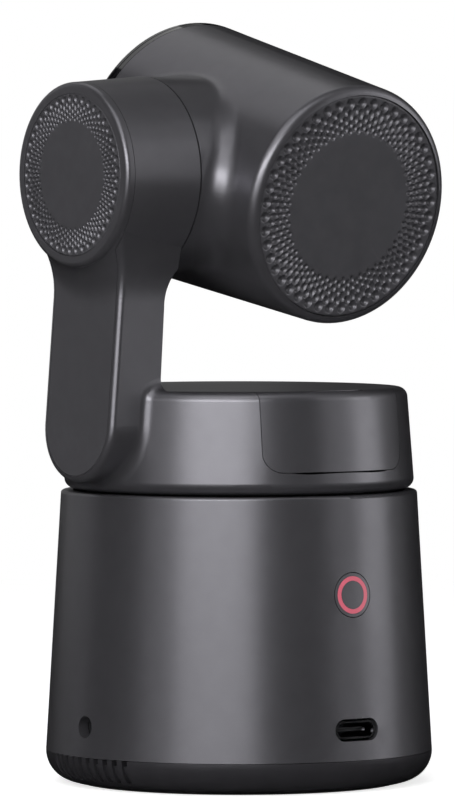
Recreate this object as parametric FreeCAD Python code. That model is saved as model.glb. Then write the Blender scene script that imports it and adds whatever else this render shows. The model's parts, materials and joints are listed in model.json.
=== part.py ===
import FreeCAD, Part
import math
import os

# Free-standing pan-tilt camera, in millimetres. Z is up, and the origin is at the middle of the
# underside. The pan axis is Z. The tilt axis runs along X through the round top of the arm. The
# lens faces -Y, and the power button, the charging port and the port door are at +Y.

VECTOR = FreeCAD.Vector
ORIGIN = VECTOR(0, 0, 0)
X_AXIS = VECTOR(1, 0, 0)
Y_AXIS = VECTOR(0, 1, 0)
Z_AXIS = VECTOR(0, 0, 1)
FULL_TURN = 360.0
FAR = 200.0
MARGIN = 20.0
EIGHTH_TURN = math.pi / 4

# Clearances
seat_gap = 0.1
fit_gap = 0.2
running_gap = 0.04
body_gap = 0.3
panel_gap = 0.12
pin_gap = 0.02

# Base casing
base_seam_radius = 35.5
base_rim_radius = 32.7
base_seam_height = 6.1
base_rim_height = 53.7
base_wall = 2.2
base_rim_round = 0.6
base_draft = (base_seam_radius - base_rim_radius) / (base_rim_height - base_seam_height)

# Bottom cover and its foot
cover_lowest = 0.3
cover_round = 5.6
cover_floor = 2.2
spigot_wall = 1.2
spigot_height = 2.4
foot_outer_radius = 29.7
foot_inner_radius = 8.2
foot_thickness = 1.3
vent_count = 10
vent_pitch_deg = 3.75
vent_width = 1.15
vent_low = 1.8
vent_reach = 4.0
vent_mouth = 1.1
vent_flute = 0.6

# Tripod bush, a quarter-inch socket
bush_bore_radius = 3.175
bush_radius = 5.0
bush_length = 7.6
bush_flange_radius = 6.5
bush_flange = 0.7
bush_depth = 7.0
bush_boss_wall = 3.0

# Posts that tie the cover to the inner frame
post_count = 3
post_circle = 25.6
post_first_deg = 30.0
post_radius = 3.2
post_shoulder = 4.4
screw_boss_radius = 3.6
screw_boss_height = 3.7
screw_head_radius = 2.4
screw_head = 1.6
screw_shank = 1.15
screw_length = 10.0
screw_cross = 0.35
screw_cross_share = 0.6

# Inner frame of the base
deck_low = 38.8
deck_thickness = 2.0
deck_radius = 29.6
deck_hole = 5.0

# Main board and what stands on it
board_low = 8.8
board_thickness = 1.2
board_radius = 29.5
processor_size = 14.0
processor_height = 1.4
processor_y = 12.0
sink_width = 26.0
sink_depth = 16.0
sink_base = 1.6
sink_height = 10.0
sink_fins = 7
sink_fin = 1.2

# Charging port
port_width = 8.94
port_height = 3.26
port_length = 7.2
port_metal = 0.35
port_setback = 0.7
port_tongue_width = 6.7
port_tongue_height = 0.7
port_tongue_reach = 5.6
port_clear = 0.4

# Audio jack, on the side below the arm
jack_height = 11.6
jack_hole_radius = 2.0
jack_bore_radius = 1.8
jack_width = 6.0
jack_body_height = 5.0
jack_length = 10.5
jack_bore_depth = 9.0

# Battery
battery_jack_gap = 0.75
battery_depth = 18.0
battery_height = 26.6
battery_round = 2.0
battery_y = -10.0
cradle_wall = 1.2

# Power button
button_height = 35.9
button_hole_radius = 4.13
button_radius = 3.98
ring_outer_radius = 3.41
ring_inner_radius = 2.54
ring_depth = 1.6
button_flange_radius = 4.8
button_flange = 1.0
button_travel = 0.35
button_plunger = 1.5
switch_size = 5.0
switch_body = 2.6
switch_stem = 0.6
switch_stem_radius = 1.2
button_board_width = 12.0
button_board_height = 11.0
bracket_thickness = 1.6
bracket_width = 14.0

# Base top plate and the ledge that it sits on
plate_top = 52.0
plate_thickness = 1.7
ledge_width = 2.4
ledge_thickness = 1.5
plate_screw_ring_radius = 28.2
plate_screw_boss = 2.6
plate_screw_boss_height = 6.3
plate_screw_shank = 0.9
plate_screw_head_radius = 1.7
plate_screw_head = 0.8
plate_screw_length = 5.0
plate_first_deg = 90.0

# Pan bearing and motor
hub_radius = 9.0
hub_bore = 5.5
hub_low = 41.8
hub_flange_radius = 14.0
hub_flange = 1.6
hub_screw_ring_radius = 11.6
hub_screw_count = 4
bearing_outer_radius = 13.0
bearing_height = 3.7
bearing_lip = 0.5
bearing_lip_radius = 12.2
bearing_groove = 0.8
collar_wall = 2.4
pan_magnet_radius = 11.8
pan_magnet_height = 5.0
pan_stator_radius = 19.0
pan_stator_height = 6.4
stator_back = 2.6
stator_slots = 9
stator_slot_width = 2.6

# Turret
turret_low = 54.0
turret_top = 72.6
turret_round = 1.9
turret_waist_height = 55.9
turret_waist_radius = 32.11
turret_draft = 0.078
turret_wall = 1.8
floor_radius = 28.3
floor_thickness = 1.8
neck_outer_radius = 28.0
neck_inner_radius = 24.0
turret_post_circle = 20.5
turret_post_radius = 2.6
turret_post_first_deg = 30.0
turret_screw_head = 0.9
turret_screw_head_radius = 1.9
turret_screw_length = 7.0

# Turret board, port panel and sockets
turret_board_low = 61.0
turret_board_radius = 24.6
panel_y = 22.0
panel_thickness = 1.4
panel_width = 35.0
cheek_thickness = 1.2
shelf_low = 56.2
shelf_thickness = 0.8
shelf_reach = 28.6
hdmi_width = 6.5
hdmi_height = 3.2
hdmi_depth = 7.5
hdmi_tongue_width = 4.5
hdmi_x = -6.5
card_width = 12.0
card_height = 1.8
card_socket_depth = 14.0
card_x = 6.5
memory_card_width = 11.0
memory_card_height = 0.9
memory_card_proud = 1.4

# Port door and its hinge
door_half_width = 15.7
door_low = 58.1
door_corner = 3.3
door_wall = 1.4
door_lip_radius = 28.7
door_lip = 1.4
hinge_inset = 1.8
hinge_rise = 1.8
hinge_pin_radius = 0.4
hinge_ear_radius = 0.8
hinge_knuckle_half = 2.85
hinge_ear_width = 2.0
hinge_ear_gap = 0.15
hinge_skin = 0.95
hinge_relief_centre = 2.73
hinge_relief_edge = 2.0
hinge_relief_half = 10.6
notch_half_width = 6.0
notch_depth = 0.6
notch_reach = 1.0

# Arm
arm_half_width = 10.5
arm_end_height = 66.4
arm_face_x = 36.85
arm_face_draft = 0.083
arm_back_x = 25.95
arm_back_draft = 0.06
arm_edge_round = 1.1
arm_root_x = 15.0
arm_neck_round = 28.0
arm_root_round = 2.3
arm_bend_low = 87.5
arm_bend_high = 94.5
arm_apron = 7.0
arm_apron_height = 2.7
arm_apron_steep = 0.8
arm_apron_sunk = 0.5
arm_rim = 1.2
arm_wall = 2.0
arm_seam_depth = 0.35
arm_plate = 1.3

# Tilt housing at the top of the arm
tilt_height = 111.5
housing_face_x = 38.0
housing_inner_x = 22.4
housing_face_radius = 16.7
housing_draft = 0.075
housing_round = 0.9
housing_wall = 2.0
housing_seam_x = 36.2
arm_grille_radius = 14.7
arm_grille_depth = 0.8
arm_grille_setback = 0.15

# Tilt bearing and motor
tilt_shaft_radius = 6.0
tilt_shaft_bore = 4.0
tilt_shaft_end = 32.6
tilt_flange_radius = 12.5
tilt_flange = 2.0
tilt_bearing_radius = 11.0
tilt_magnet_radius = 9.2
tilt_magnet_length = 5.6
tilt_stator_radius = 14.2
tilt_stator_length = 6.6
encoder_radius = 9.0
encoder_thickness = 1.0
encoder_x = 33.6

# Head, drawn level and then turned to its rest angle
head_rest_deg = 11.9
head_x = -4.5
head_middle_radius = 23.04
head_draft = 0.03646
head_front = -21.1
head_rear = 27.7
head_wall = 2.0
head_rear_round = 1.9
boss_radius = 17.85
boss_blend = 5.0
boss_pocket_radius = 15.6
boss_end_wall = 2.2
boss_gap = 0.35
rear_opening_radius = 20.5
rear_grille_thickness = 1.7
rear_grille_setback = 0.3
rear_ledge_radius = 17.4
rear_ledge = 1.7

# Front of the head
bezel_front = -23.6
bezel_round = 0.7
bezel_bore = 20.9
bezel_lip_radius = 19.4
bezel_spigot = 4.0
fascia_front = -23.9
fascia_thickness = 1.3
lens_hole_radius = 9.6
trim_ring_wall = 0.8

# Lens
barrel_outer_radius = 11.0
barrel_bore = 9.6
barrel_front = -21.8
barrel_flange_radius = 15.0
barrel_flange = 1.6
front_lens_radius = 9.4
front_lens_edge = 2.4
front_lens_bulge = 1.6
front_lens_y = -19.6
carrier_bore = 8.1
carrier_low = -13.0
carrier_length = 5.0
focus_travel = 3.0
rear_lens_gap = 2.4
rear_lens_y = carrier_low + carrier_length + focus_travel + rear_lens_gap
rear_lens_edge = 3.0
lens_bulge = 1.2

# Frame and electronics in the head
chassis_y = 4.8
chassis_thickness = 1.6
chassis_window_x = 16.0
chassis_window_z = 12.0
chassis_screw_ring_radius = 18.6
chassis_screw_count = 4
chassis_screw_first_deg = 45.0
chassis_boss_radius = 2.2
chassis_boss_length = 6.0
small_screw_shank = 0.8
small_screw_head_radius = 1.5
small_screw_head = 0.9
small_screw_length = 4.6
ledge_reach = 2.6
sensor_width = 12.0
sensor_height = 9.0
sensor_thickness = 1.4
sensor_board_size = 23.0
sensor_board_thickness = 1.2
head_sink_size = 21.0
head_sink_base = 1.4
head_sink_height = 7.0
head_sink_fins = 6
mic_board_radius = 17.2
mic_board_thickness = 1.0
mic_size = 3.0
mic_height = 1.1
mic_spread = 10.0


def base_radius(height):
    """Outer radius of the base casing at a height."""
    return base_seam_radius - base_draft * (height - base_seam_height)


def turret_radius(height):
    """Outer radius of the turret at a height."""
    return turret_waist_radius - turret_draft * (height - turret_waist_height)


def head_radius(station):
    """Outer radius of the head at a station along its own axis."""
    return head_middle_radius - head_draft * station


def arm_face(height):
    """X of the arm's outer face at a height."""
    return arm_face_x - arm_face_draft * (height - arm_end_height)


def arm_back(height):
    """X of the arm's inner face at a height, below the bend into the housing."""
    return arm_back_x - arm_back_draft * (height - turret_top)


def cylinder(radius, low, high, axis=Z_AXIS, centre=ORIGIN):
    """Cylinder between two stations of an axis through a centre."""
    return Part.makeCylinder(radius, high - low, centre + axis * low, axis)


def tube(inner, outer, low, high, axis=Z_AXIS, centre=ORIGIN):
    """Straight tube between two stations of an axis through a centre."""
    return cylinder(outer, low, high, axis, centre).cut(cylinder(inner, low, high, axis, centre))


def frustum(radius_low, radius_high, low, high, axis=Z_AXIS, centre=ORIGIN):
    """Cone frustum between two stations of an axis through a centre."""
    return Part.makeCone(radius_low, radius_high, high - low, centre + axis * low, axis)


def block(x_range, y_range, z_range):
    """Box between two corners given as ranges."""
    size = [high - low for low, high in (x_range, y_range, z_range)]
    return Part.makeBox(size[0], size[1], size[2], VECTOR(x_range[0], y_range[0], z_range[0]))


def spread(middle, size):
    """Range of a given size about a middle value."""
    return (middle - size / 2, middle + size / 2)


def polar(radius, angle_deg, height=0.0):
    """Point at a radius, an angle from +X and a height."""
    angle = math.radians(angle_deg)
    return VECTOR(radius * math.cos(angle), radius * math.sin(angle), height)


def even_angles(count, first_deg=0.0):
    """Angles of equal steps round a full turn."""
    return [first_deg + FULL_TURN * index / count for index in range(count)]


def joined(first, *others):
    """One solid made of several that overlap or touch."""
    shape = first
    for other in others:
        shape = shape.fuse(other)
    return shape.removeSplitter()


def rounded(shape, radius, wanted):
    """Shape with the edges that pass a test rounded."""
    edges = [edge for edge in shape.Edges if wanted(edge.CenterOfMass, edge)]
    return shape.makeFillet(radius, edges)


def prism(points, direction):
    """Straight prism on a closed outline of points."""
    return Part.Face(Part.makePolygon(points + points[:1])).extrude(direction)


def stadium(width, height, y_range, middle):
    """Rounded bar along Y with half-round ends, its middle given in X and Z."""
    radius = height / 2
    half = width / 2 - radius
    middle_x, middle_z = middle
    bar = block((middle_x - half, middle_x + half), y_range, (middle_z - radius, middle_z + radius))
    ends = [
        cylinder(radius, y_range[0], y_range[1], Y_AXIS, VECTOR(middle_x + side * half, 0, middle_z))
        for side in (-1, 1)
    ]
    return joined(bar, *ends)


def finned_block(width, depth, base, height, fins, fin):
    """Heat sink on the XY plane: a base plate with upright fins along Y."""
    shape = block(spread(0, width), spread(0, depth), (0, base))
    step = (width - fin) / (fins - 1)
    for index in range(fins):
        left = -width / 2 + index * step
        shape = shape.fuse(block((left, left + fin), spread(0, depth), (0, height)))
    return shape.removeSplitter()


def screw(shank, length, head_radius, head, cross=screw_cross):
    """Screw with its head's underside at the origin and its shank along +Z."""
    slot = head_radius * screw_cross_share
    body = cylinder(shank, 0, length).fuse(cylinder(head_radius, -head, 0))
    for size_x, size_y in ((slot, cross), (cross, slot)):
        body = body.cut(block((-size_x, size_x), (-size_y, size_y), (-head, -head / 2)))
    return body


def placed(shape, position, axis=Z_AXIS):
    """Copy of a shape turned from +Z to an axis and moved to a position."""
    copy = shape.copy()
    copy.Placement = FreeCAD.Placement(position, FreeCAD.Rotation(Z_AXIS, axis))
    return copy


def stator(back_radius, bore, low, high, axis=Z_AXIS, centre=ORIGIN):
    """Motor stator: an iron ring with teeth that point inwards."""
    shape = tube(bore, back_radius, 0, high - low)
    for angle in even_angles(stator_slots):
        reach = (bore - stator_back / 2, back_radius - stator_back)
        slot = block(reach, spread(0, stator_slot_width), (0, high - low))
        slot.rotate(ORIGIN, Z_AXIS, angle)
        shape = shape.cut(slot)
    return placed(shape, centre + axis * low, axis)


def lens_element(radius, edge, front_bulge, rear_bulge, station):
    """Round lens along Y with domed faces, its rim starting at a station."""
    section = []
    tips = []
    for bulge, face_y, side in ((front_bulge, station, -1), (rear_bulge, station + edge, 1)):
        sphere_radius = (radius ** 2 + bulge ** 2) / (2 * bulge)
        half_angle = math.asin(radius / sphere_radius) / 2
        middle_y = face_y + side * (bulge - sphere_radius * (1 - math.cos(half_angle)))
        tip = VECTOR(0, face_y + side * bulge, 0)
        middle = VECTOR(sphere_radius * math.sin(half_angle), middle_y, 0)
        rim = VECTOR(radius, face_y, 0)
        section.append(Part.Arc(tip, middle, rim).toShape())
        tips.append(tip)
    section.insert(1, Part.makeLine(VECTOR(radius, station, 0), VECTOR(radius, station + edge, 0)))
    section.append(Part.makeLine(tips[1], tips[0]))
    return Part.Face(Part.Wire(section)).revolve(ORIGIN, Y_AXIS, FULL_TURN)


def at_head(shape):
    """Shape drawn level about the head's axis, moved and turned to its rest place."""
    copy = shape.copy()
    copy.translate(VECTOR(head_x, 0, tilt_height))
    copy.rotate(VECTOR(0, 0, tilt_height), X_AXIS, -head_rest_deg)
    return copy


def post_points(height):
    """Middles of the posts between the cover and the inner frame."""
    return [polar(post_circle, angle, height) for angle in even_angles(post_count, post_first_deg)]


def plate_screw_points(height):
    """Middles of the screws that hold the base's top plate."""
    angles = even_angles(post_count, plate_first_deg)
    return [polar(plate_screw_ring_radius, angle, height) for angle in angles]


def turret_post_points(height):
    """Middles of the screw posts inside the turret."""
    angles = even_angles(post_count, turret_post_first_deg)
    return [polar(turret_post_circle, angle, height) for angle in angles]


def make_base_shell():
    """Tapered outer tube of the base with its ledge, screw bosses and openings."""
    outer = frustum(base_seam_radius, base_rim_radius, base_seam_height, base_rim_height)
    outer = rounded(outer, base_rim_round, lambda point, edge: edge.Closed and point.z > plate_top)
    outer.rotate(ORIGIN, Z_AXIS, FULL_TURN / 2)
    inner = frustum(
        base_seam_radius - base_wall, base_rim_radius - base_wall, base_seam_height, base_rim_height
    )
    shell = outer.cut(inner)
    ledge_top = plate_top - plate_thickness
    ledge_outer = base_radius(ledge_top) - base_wall / 2
    ledge_inner = base_radius(ledge_top) - base_wall - ledge_width
    shell = shell.fuse(tube(ledge_inner, ledge_outer, ledge_top - ledge_thickness, ledge_top))
    for point in plate_screw_points(ledge_top - plate_screw_boss_height):
        boss = cylinder(plate_screw_boss, 0, plate_screw_boss_height, Z_AXIS, point)
        shell = shell.fuse(boss)
    for point in plate_screw_points(ledge_top - plate_screw_length):
        shell = shell.cut(cylinder(plate_screw_shank, 0, plate_screw_length, Z_AXIS, point))
    button_place = VECTOR(0, 0, button_height)
    shell = shell.cut(cylinder(button_hole_radius, 0, FAR, Y_AXIS, button_place))
    port_middle = (0, board_low + board_thickness + port_height / 2)
    port_hole = stadium(port_width + 2 * port_clear, port_height + 2 * port_clear, (0, FAR), port_middle)
    shell = shell.cut(port_hole)
    shell = shell.cut(cylinder(jack_hole_radius, 0, FAR, X_AXIS, VECTOR(0, 0, jack_height)))
    return shell.removeSplitter()


def cover_profile(offset, top):
    """Half section of the bottom cover's outside, moved inwards by an offset, as a closed face."""
    flat_radius = base_seam_radius - cover_round
    middle_z = cover_lowest + cover_round
    radius = cover_round - offset
    low = cover_lowest + offset
    corner = VECTOR(flat_radius, 0, low)
    reach = radius * math.cos(EIGHTH_TURN)
    bend = VECTOR(flat_radius + reach, 0, middle_z - reach)
    side = VECTOR(flat_radius + radius, 0, middle_z)
    edges = [
        Part.makeLine(VECTOR(0, 0, low), corner),
        Part.Arc(corner, bend, side).toShape(),
        Part.makeLine(side, VECTOR(side.x, 0, top)),
        Part.makeLine(VECTOR(side.x, 0, top), VECTOR(0, 0, top)),
        Part.makeLine(VECTOR(0, 0, top), VECTOR(0, 0, low)),
    ]
    return Part.Face(Part.Wire(edges))


def vent_cutter():
    """Cutter for one vent slot on the +X side: open at the seam, a shallow flute below."""
    top = base_seam_height
    across = (base_seam_radius - vent_reach, base_seam_radius + vent_mouth)
    flute = block(across, (-vent_width / 2, vent_width / 2), (vent_low, top))
    flute = flute.cut(cover_profile(vent_flute, top).revolve(ORIGIN, Z_AXIS, FULL_TURN))
    mouth = block(across, (-vent_width / 2, vent_width / 2), (top - vent_mouth, top))
    return flute.fuse(mouth)


def make_bottom_cover():
    """Rounded bottom dish with its spigot, screw bosses, bush boss and vent slots."""
    top = base_seam_height - seat_gap
    cover = cover_profile(0, top).revolve(ORIGIN, Z_AXIS, FULL_TURN)
    cover = cover.cut(cover_profile(cover_floor, top).revolve(ORIGIN, Z_AXIS, FULL_TURN))
    spigot_top = top + spigot_height
    spigot_outer = base_radius(spigot_top) - base_wall - seat_gap
    spigot_inner = spigot_outer - spigot_wall
    cover = cover.fuse(tube(spigot_inner, spigot_outer, top - cover_floor, spigot_top))
    cover = cover.fuse(tube(spigot_inner, base_seam_radius - base_wall / 2, top - cover_floor, top))
    recess_top = foot_thickness
    boss_top = recess_top + screw_boss_height
    for point in post_points(recess_top):
        cover = cover.fuse(cylinder(screw_boss_radius, 0, screw_boss_height, Z_AXIS, point))
    bush_boss = cylinder(bush_radius + bush_boss_wall, cover_lowest, cover_lowest + bush_length)
    cover = cover.fuse(bush_boss)
    cover = cover.cut(tube(foot_inner_radius - seat_gap, foot_outer_radius, 0, recess_top))
    head_room = screw_head + fit_gap
    for point in post_points(0):
        cover = cover.cut(cylinder(screw_head_radius + fit_gap, 0, recess_top + head_room, Z_AXIS, point))
        cover = cover.cut(cylinder(screw_shank + fit_gap, 0, boss_top, Z_AXIS, point))
    cover = cover.cut(cylinder(bush_radius + running_gap, 0, FAR))
    slot = vent_cutter()
    for side_deg in (0, 180):
        for index in range(vent_count):
            cutter = slot.copy()
            turn = side_deg + (index - (vent_count - 1) / 2) * vent_pitch_deg
            cutter.rotate(ORIGIN, Z_AXIS, turn)
            cover = cover.cut(cutter)
    return cover.removeSplitter()


def make_rubber_foot():
    """Ring pad under the cover."""
    pad = tube(foot_inner_radius, foot_outer_radius - seat_gap, 0, foot_thickness)
    edge_round = foot_thickness / 4
    return rounded(pad, edge_round, lambda point, edge: edge.Closed and point.z < edge_round)


def make_tripod_bush():
    """Metal bush with a blind quarter-inch hole, flanged at its top."""
    top = cover_lowest + bush_length
    bush = cylinder(bush_radius, cover_lowest, top + bush_flange)
    bush = bush.fuse(cylinder(bush_flange_radius, top, top + bush_flange))
    return bush.cut(cylinder(bush_bore_radius, cover_lowest, cover_lowest + bush_depth)).removeSplitter()


def make_bottom_screws():
    """Three screws from the cover up into the frame's posts."""
    model = screw(screw_shank, screw_length, screw_head_radius, screw_head)
    seat = foot_thickness + screw_head + fit_gap
    return Part.makeCompound([placed(model, point) for point in post_points(seat)])


def make_base_frame():
    """Inner frame: three posts, a deck for the motor and a bracket for the button board."""
    post_low = foot_thickness + screw_boss_height
    deck_top = deck_low + deck_thickness
    frame = tube(deck_hole, deck_radius, deck_low, deck_top)
    pressed_y = button_flange_y() - button_travel - fit_gap
    flange_room = spread(0, 2 * (button_flange_radius + fit_gap))
    frame = frame.cut(block(flange_room, (pressed_y, FAR), (deck_low, deck_top)))
    switch_room = switch_size + 2 * fit_gap
    switch_back = button_back() - switch_stem - switch_body
    frame = frame.cut(block(spread(0, switch_room), (switch_back, FAR), spread(button_height, switch_room)))
    for point in post_points(0):
        frame = frame.fuse(cylinder(post_radius, post_low, deck_low, Z_AXIS, point))
        frame = frame.fuse(cylinder(post_shoulder, post_low, board_low, Z_AXIS, point))
    screw_seat = foot_thickness + screw_head + fit_gap
    for point in post_points(0):
        hole_top = screw_seat + screw_length + fit_gap
        frame = frame.cut(cylinder(screw_shank + seat_gap, post_low, hole_top, Z_AXIS, point))
    low = button_height - button_board_height / 2
    back = switch_back - board_thickness - bracket_thickness
    bracket = block(spread(0, bracket_width), (back, back + bracket_thickness), (low, deck_low))
    return joined(frame, bracket)


def button_flange_y():
    """Y of the button flange's inner face; its outer face just clears the curved wall."""
    wall_radius = base_radius(button_height + button_flange_radius) - base_wall
    wall_y = math.sqrt(wall_radius ** 2 - button_flange_radius ** 2)
    return wall_y - fit_gap - button_flange


def button_back():
    """Y of the switch's stem, which the button's plunger reaches at the end of its travel."""
    return button_flange_y() - button_plunger - button_travel - seat_gap


def make_button_board():
    """Small upright board behind the power button, just below the deck."""
    front = button_back() - switch_stem - switch_body
    low = button_height - button_board_height / 2
    return block(spread(0, button_board_width), (front - board_thickness, front), (low, deck_low - fit_gap))


def make_tact_switch():
    """Push switch that the button's plunger presses."""
    front = button_back() - switch_stem
    body = block(spread(0, switch_size), (front - switch_body, front), spread(button_height, switch_size))
    stem = cylinder(switch_stem_radius, front, front + switch_stem, Y_AXIS, VECTOR(0, 0, button_height))
    return joined(body, stem)


def make_main_board():
    """Round circuit board that sits on the posts' shoulders."""
    board = cylinder(board_radius, board_low, board_low + board_thickness)
    for point in post_points(0):
        board = board.cut(cylinder(post_radius + fit_gap, 0, FAR, Z_AXIS, point))
    jack_room = jack_back() - fit_gap
    board = board.cut(block((jack_room, FAR), spread(0, jack_width + 2 * fit_gap), (0, FAR)))
    return board


def jack_back():
    """X of the audio jack's inner end."""
    return base_radius(jack_height) - base_wall - body_gap - jack_length


def make_main_processor():
    """Chip on the main board."""
    low = board_low + board_thickness
    sides = (spread(0, processor_size), spread(processor_y, processor_size))
    return block(sides[0], sides[1], (low, low + processor_height))


def make_heat_sink():
    """Finned block on the chip."""
    sink = finned_block(sink_width, sink_depth, sink_base, sink_height, sink_fins, sink_fin)
    sink.translate(VECTOR(0, processor_y, board_low + board_thickness + processor_height))
    return sink


def make_usb_receptacle():
    """Charging port: a rounded metal sleeve with a tongue."""
    middle = (0, board_low + board_thickness + port_height / 2)
    front = base_radius(middle[1]) - port_setback
    back = front - port_length
    sleeve = stadium(port_width, port_height, (back, front), middle)
    hollow = stadium(
        port_width - 2 * port_metal, port_height - 2 * port_metal, (back + port_metal, front), middle
    )
    depth = (back, back + port_tongue_reach)
    tongue = block(spread(0, port_tongue_width), depth, spread(middle[1], port_tongue_height))
    return joined(sleeve.cut(hollow), tongue)


def make_audio_jack():
    """Microphone jack: a block with a round bore, level with its hole in the casing."""
    back = jack_back()
    front = back + jack_length
    body = block((back, front), spread(0, jack_width), spread(jack_height, jack_body_height))
    bore = cylinder(jack_bore_radius, front - jack_bore_depth, front, X_AXIS, VECTOR(0, 0, jack_height))
    return body.cut(bore)


def cradle_low():
    """Height of the battery cradle's underside, just above the main board."""
    return deck_low - cradle_wall - battery_height - fit_gap


def battery_width():
    """Width of the battery, whose cradle stops short of the audio jack."""
    return 2 * (jack_back() - battery_jack_gap - cradle_wall - fit_gap)


def make_battery_cradle():
    """Open-topped box that hangs from the deck and holds the battery."""
    low = cradle_low()
    room = 2 * fit_gap
    outer = block(
        spread(0, battery_width() + room + 2 * cradle_wall),
        spread(battery_y, battery_depth + room + 2 * cradle_wall),
        (low, deck_low),
    )
    inner = block(
        spread(0, battery_width() + room),
        spread(battery_y, battery_depth + room),
        (low + cradle_wall, deck_low),
    )
    return outer.cut(inner)


def make_battery_pack():
    """Flat battery with rounded upright edges."""
    low = cradle_low() + cradle_wall
    pack = block(spread(0, battery_width()), spread(battery_y, battery_depth), (low, low + battery_height))
    middle = low + battery_height / 2
    return rounded(pack, battery_round, lambda point, edge: abs(point.z - middle) < seat_gap)


def base_outside(low, high):
    """The base's outer form between two heights."""
    return frustum(base_radius(low), base_radius(high), low, high)


def make_power_button_cap():
    """Round key that follows the casing's face, with a groove for its light ring."""
    place = VECTOR(0, 0, button_height)
    flange_y = button_flange_y()
    low = button_height - button_flange_radius
    high = button_height + button_flange_radius
    key = cylinder(button_radius, flange_y, FAR, Y_AXIS, place).common(base_outside(low, high))
    face_y = base_radius(button_height)
    groove = tube(ring_inner_radius, ring_outer_radius, face_y - ring_depth, FAR, Y_AXIS, place)
    key = key.cut(groove)
    flange = cylinder(button_flange_radius, flange_y, flange_y + button_flange, Y_AXIS, place)
    plunger = cylinder(switch_stem_radius, flange_y - button_plunger, flange_y, Y_AXIS, place)
    return joined(key, flange, plunger)


def make_button_light_ring():
    """Clear ring set in the button's face."""
    place = VECTOR(0, 0, button_height)
    low = button_height - button_flange_radius
    high = button_height + button_flange_radius
    back = base_radius(button_height) - ring_depth
    ring = tube(ring_inner_radius + running_gap, ring_outer_radius - running_gap, back, FAR, Y_AXIS, place)
    return ring.common(base_outside(low, high))


def make_base_top_plate():
    """Plate that closes the base and carries the pan bearing in a collar."""
    low = plate_top - plate_thickness
    plate = cylinder(base_radius(plate_top) - base_wall - fit_gap, low, plate_top)
    bearing_low = plate_top - bearing_height
    collar_low = bearing_low - bearing_lip
    plate = plate.fuse(cylinder(bearing_outer_radius + collar_wall, collar_low, plate_top))
    plate = plate.cut(cylinder(bearing_outer_radius + running_gap, bearing_low, plate_top))
    plate = plate.cut(cylinder(bearing_lip_radius, collar_low, plate_top))
    for point in plate_screw_points(0):
        plate = plate.cut(cylinder(plate_screw_shank + seat_gap, 0, FAR, Z_AXIS, point))
        head_low = plate_top - plate_screw_head
        plate = plate.cut(cylinder(plate_screw_head_radius + seat_gap, head_low, FAR, Z_AXIS, point))
    return plate.removeSplitter()


def make_plate_screws():
    """Three short screws, top plate to casing."""
    length = plate_screw_length
    model = screw(plate_screw_shank - running_gap, length, plate_screw_head_radius, plate_screw_head)
    seats = plate_screw_points(plate_top - plate_screw_head)
    return Part.makeCompound([placed(model, point, Z_AXIS * -1) for point in seats])


def make_pan_bearing():
    """Ball bearing ring in the top plate's collar, drawn as two races with a ball groove between."""
    low = plate_top - bearing_height
    ring = tube(hub_radius + running_gap, bearing_outer_radius, low, plate_top)
    groove_radius = (hub_radius + bearing_outer_radius) / 2
    return ring.cut(Part.makeTorus(groove_radius, bearing_groove, VECTOR(0, 0, plate_top)))


def make_pan_hub():
    """Hollow steel hub that hangs from the turret floor through the bearing."""
    flange_low = turret_low - hub_flange
    hub = tube(hub_bore, hub_radius, hub_low, turret_low)
    hub = hub.fuse(tube(hub_bore, hub_flange_radius, flange_low, turret_low))
    for angle in even_angles(hub_screw_count):
        point = polar(hub_screw_ring_radius, angle, 0)
        hub = hub.cut(cylinder(plate_screw_shank + seat_gap, flange_low, turret_low, Z_AXIS, point))
    return hub.removeSplitter()


def make_pan_rotor():
    """Magnet ring on the hub."""
    return tube(hub_radius + running_gap, pan_magnet_radius, hub_low, hub_low + pan_magnet_height)


def make_pan_stator():
    """Pan motor's stator on the frame's deck."""
    low = deck_low + deck_thickness
    return stator(pan_stator_radius, pan_magnet_radius + body_gap, low, low + pan_stator_height)


def turret_form(offset, low, high):
    """The turret's outer cone moved inwards by an offset."""
    return frustum(turret_radius(low) - offset, turret_radius(high) - offset, low, high)


def arm_outline(inset):
    """Outline of the arm seen along X: a rounded foot, straight sides and a flare to the housing."""
    half = arm_half_width - inset
    flare = arm_neck_round + inset
    meeting = housing_face_radius - inset
    reach = half + flare
    drop = math.sqrt((meeting + flare) ** 2 - reach ** 2)
    flare_z = tilt_height - drop
    share = meeting / (meeting + flare)
    end = VECTOR(0, reach * share, tilt_height - drop * share)
    middle_angle = (math.pi + math.atan2(drop, -reach)) / 2
    middle = VECTOR(0, reach + flare * math.cos(middle_angle), flare_z + flare * math.sin(middle_angle))
    start = VECTOR(0, half, flare_z)
    foot = VECTOR(0, half, arm_end_height)

    def mirrored(point):
        return VECTOR(point.x, -point.y, point.z)

    bottom = VECTOR(0, 0, arm_end_height - half)
    edges = [
        Part.Arc(mirrored(foot), bottom, foot).toShape(),
        Part.makeLine(foot, start),
        Part.Arc(start, middle, end).toShape(),
        Part.makeLine(end, mirrored(end)),
        Part.Arc(mirrored(end), mirrored(middle), mirrored(start)).toShape(),
        Part.makeLine(mirrored(start), mirrored(foot)),
    ]
    return Part.Face(Part.Wire(edges))


def beyond(profile_x, low, high):
    """Everything with X past a line that is given by its X at each height."""
    points = [
        VECTOR(profile_x(low), -FAR, low),
        VECTOR(profile_x(high), -FAR, high),
        VECTOR(FAR, -FAR, high),
        VECTOR(FAR, -FAR, low),
    ]
    return prism(points, VECTOR(0, 2 * FAR, 0))


def bend_radius():
    """Radius of the bend from the arm's inner face to the housing's inner end."""
    rise = arm_bend_high - arm_bend_low
    step = arm_back(arm_bend_low) - housing_inner_x
    return (rise ** 2 + step ** 2) / (2 * step)


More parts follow.
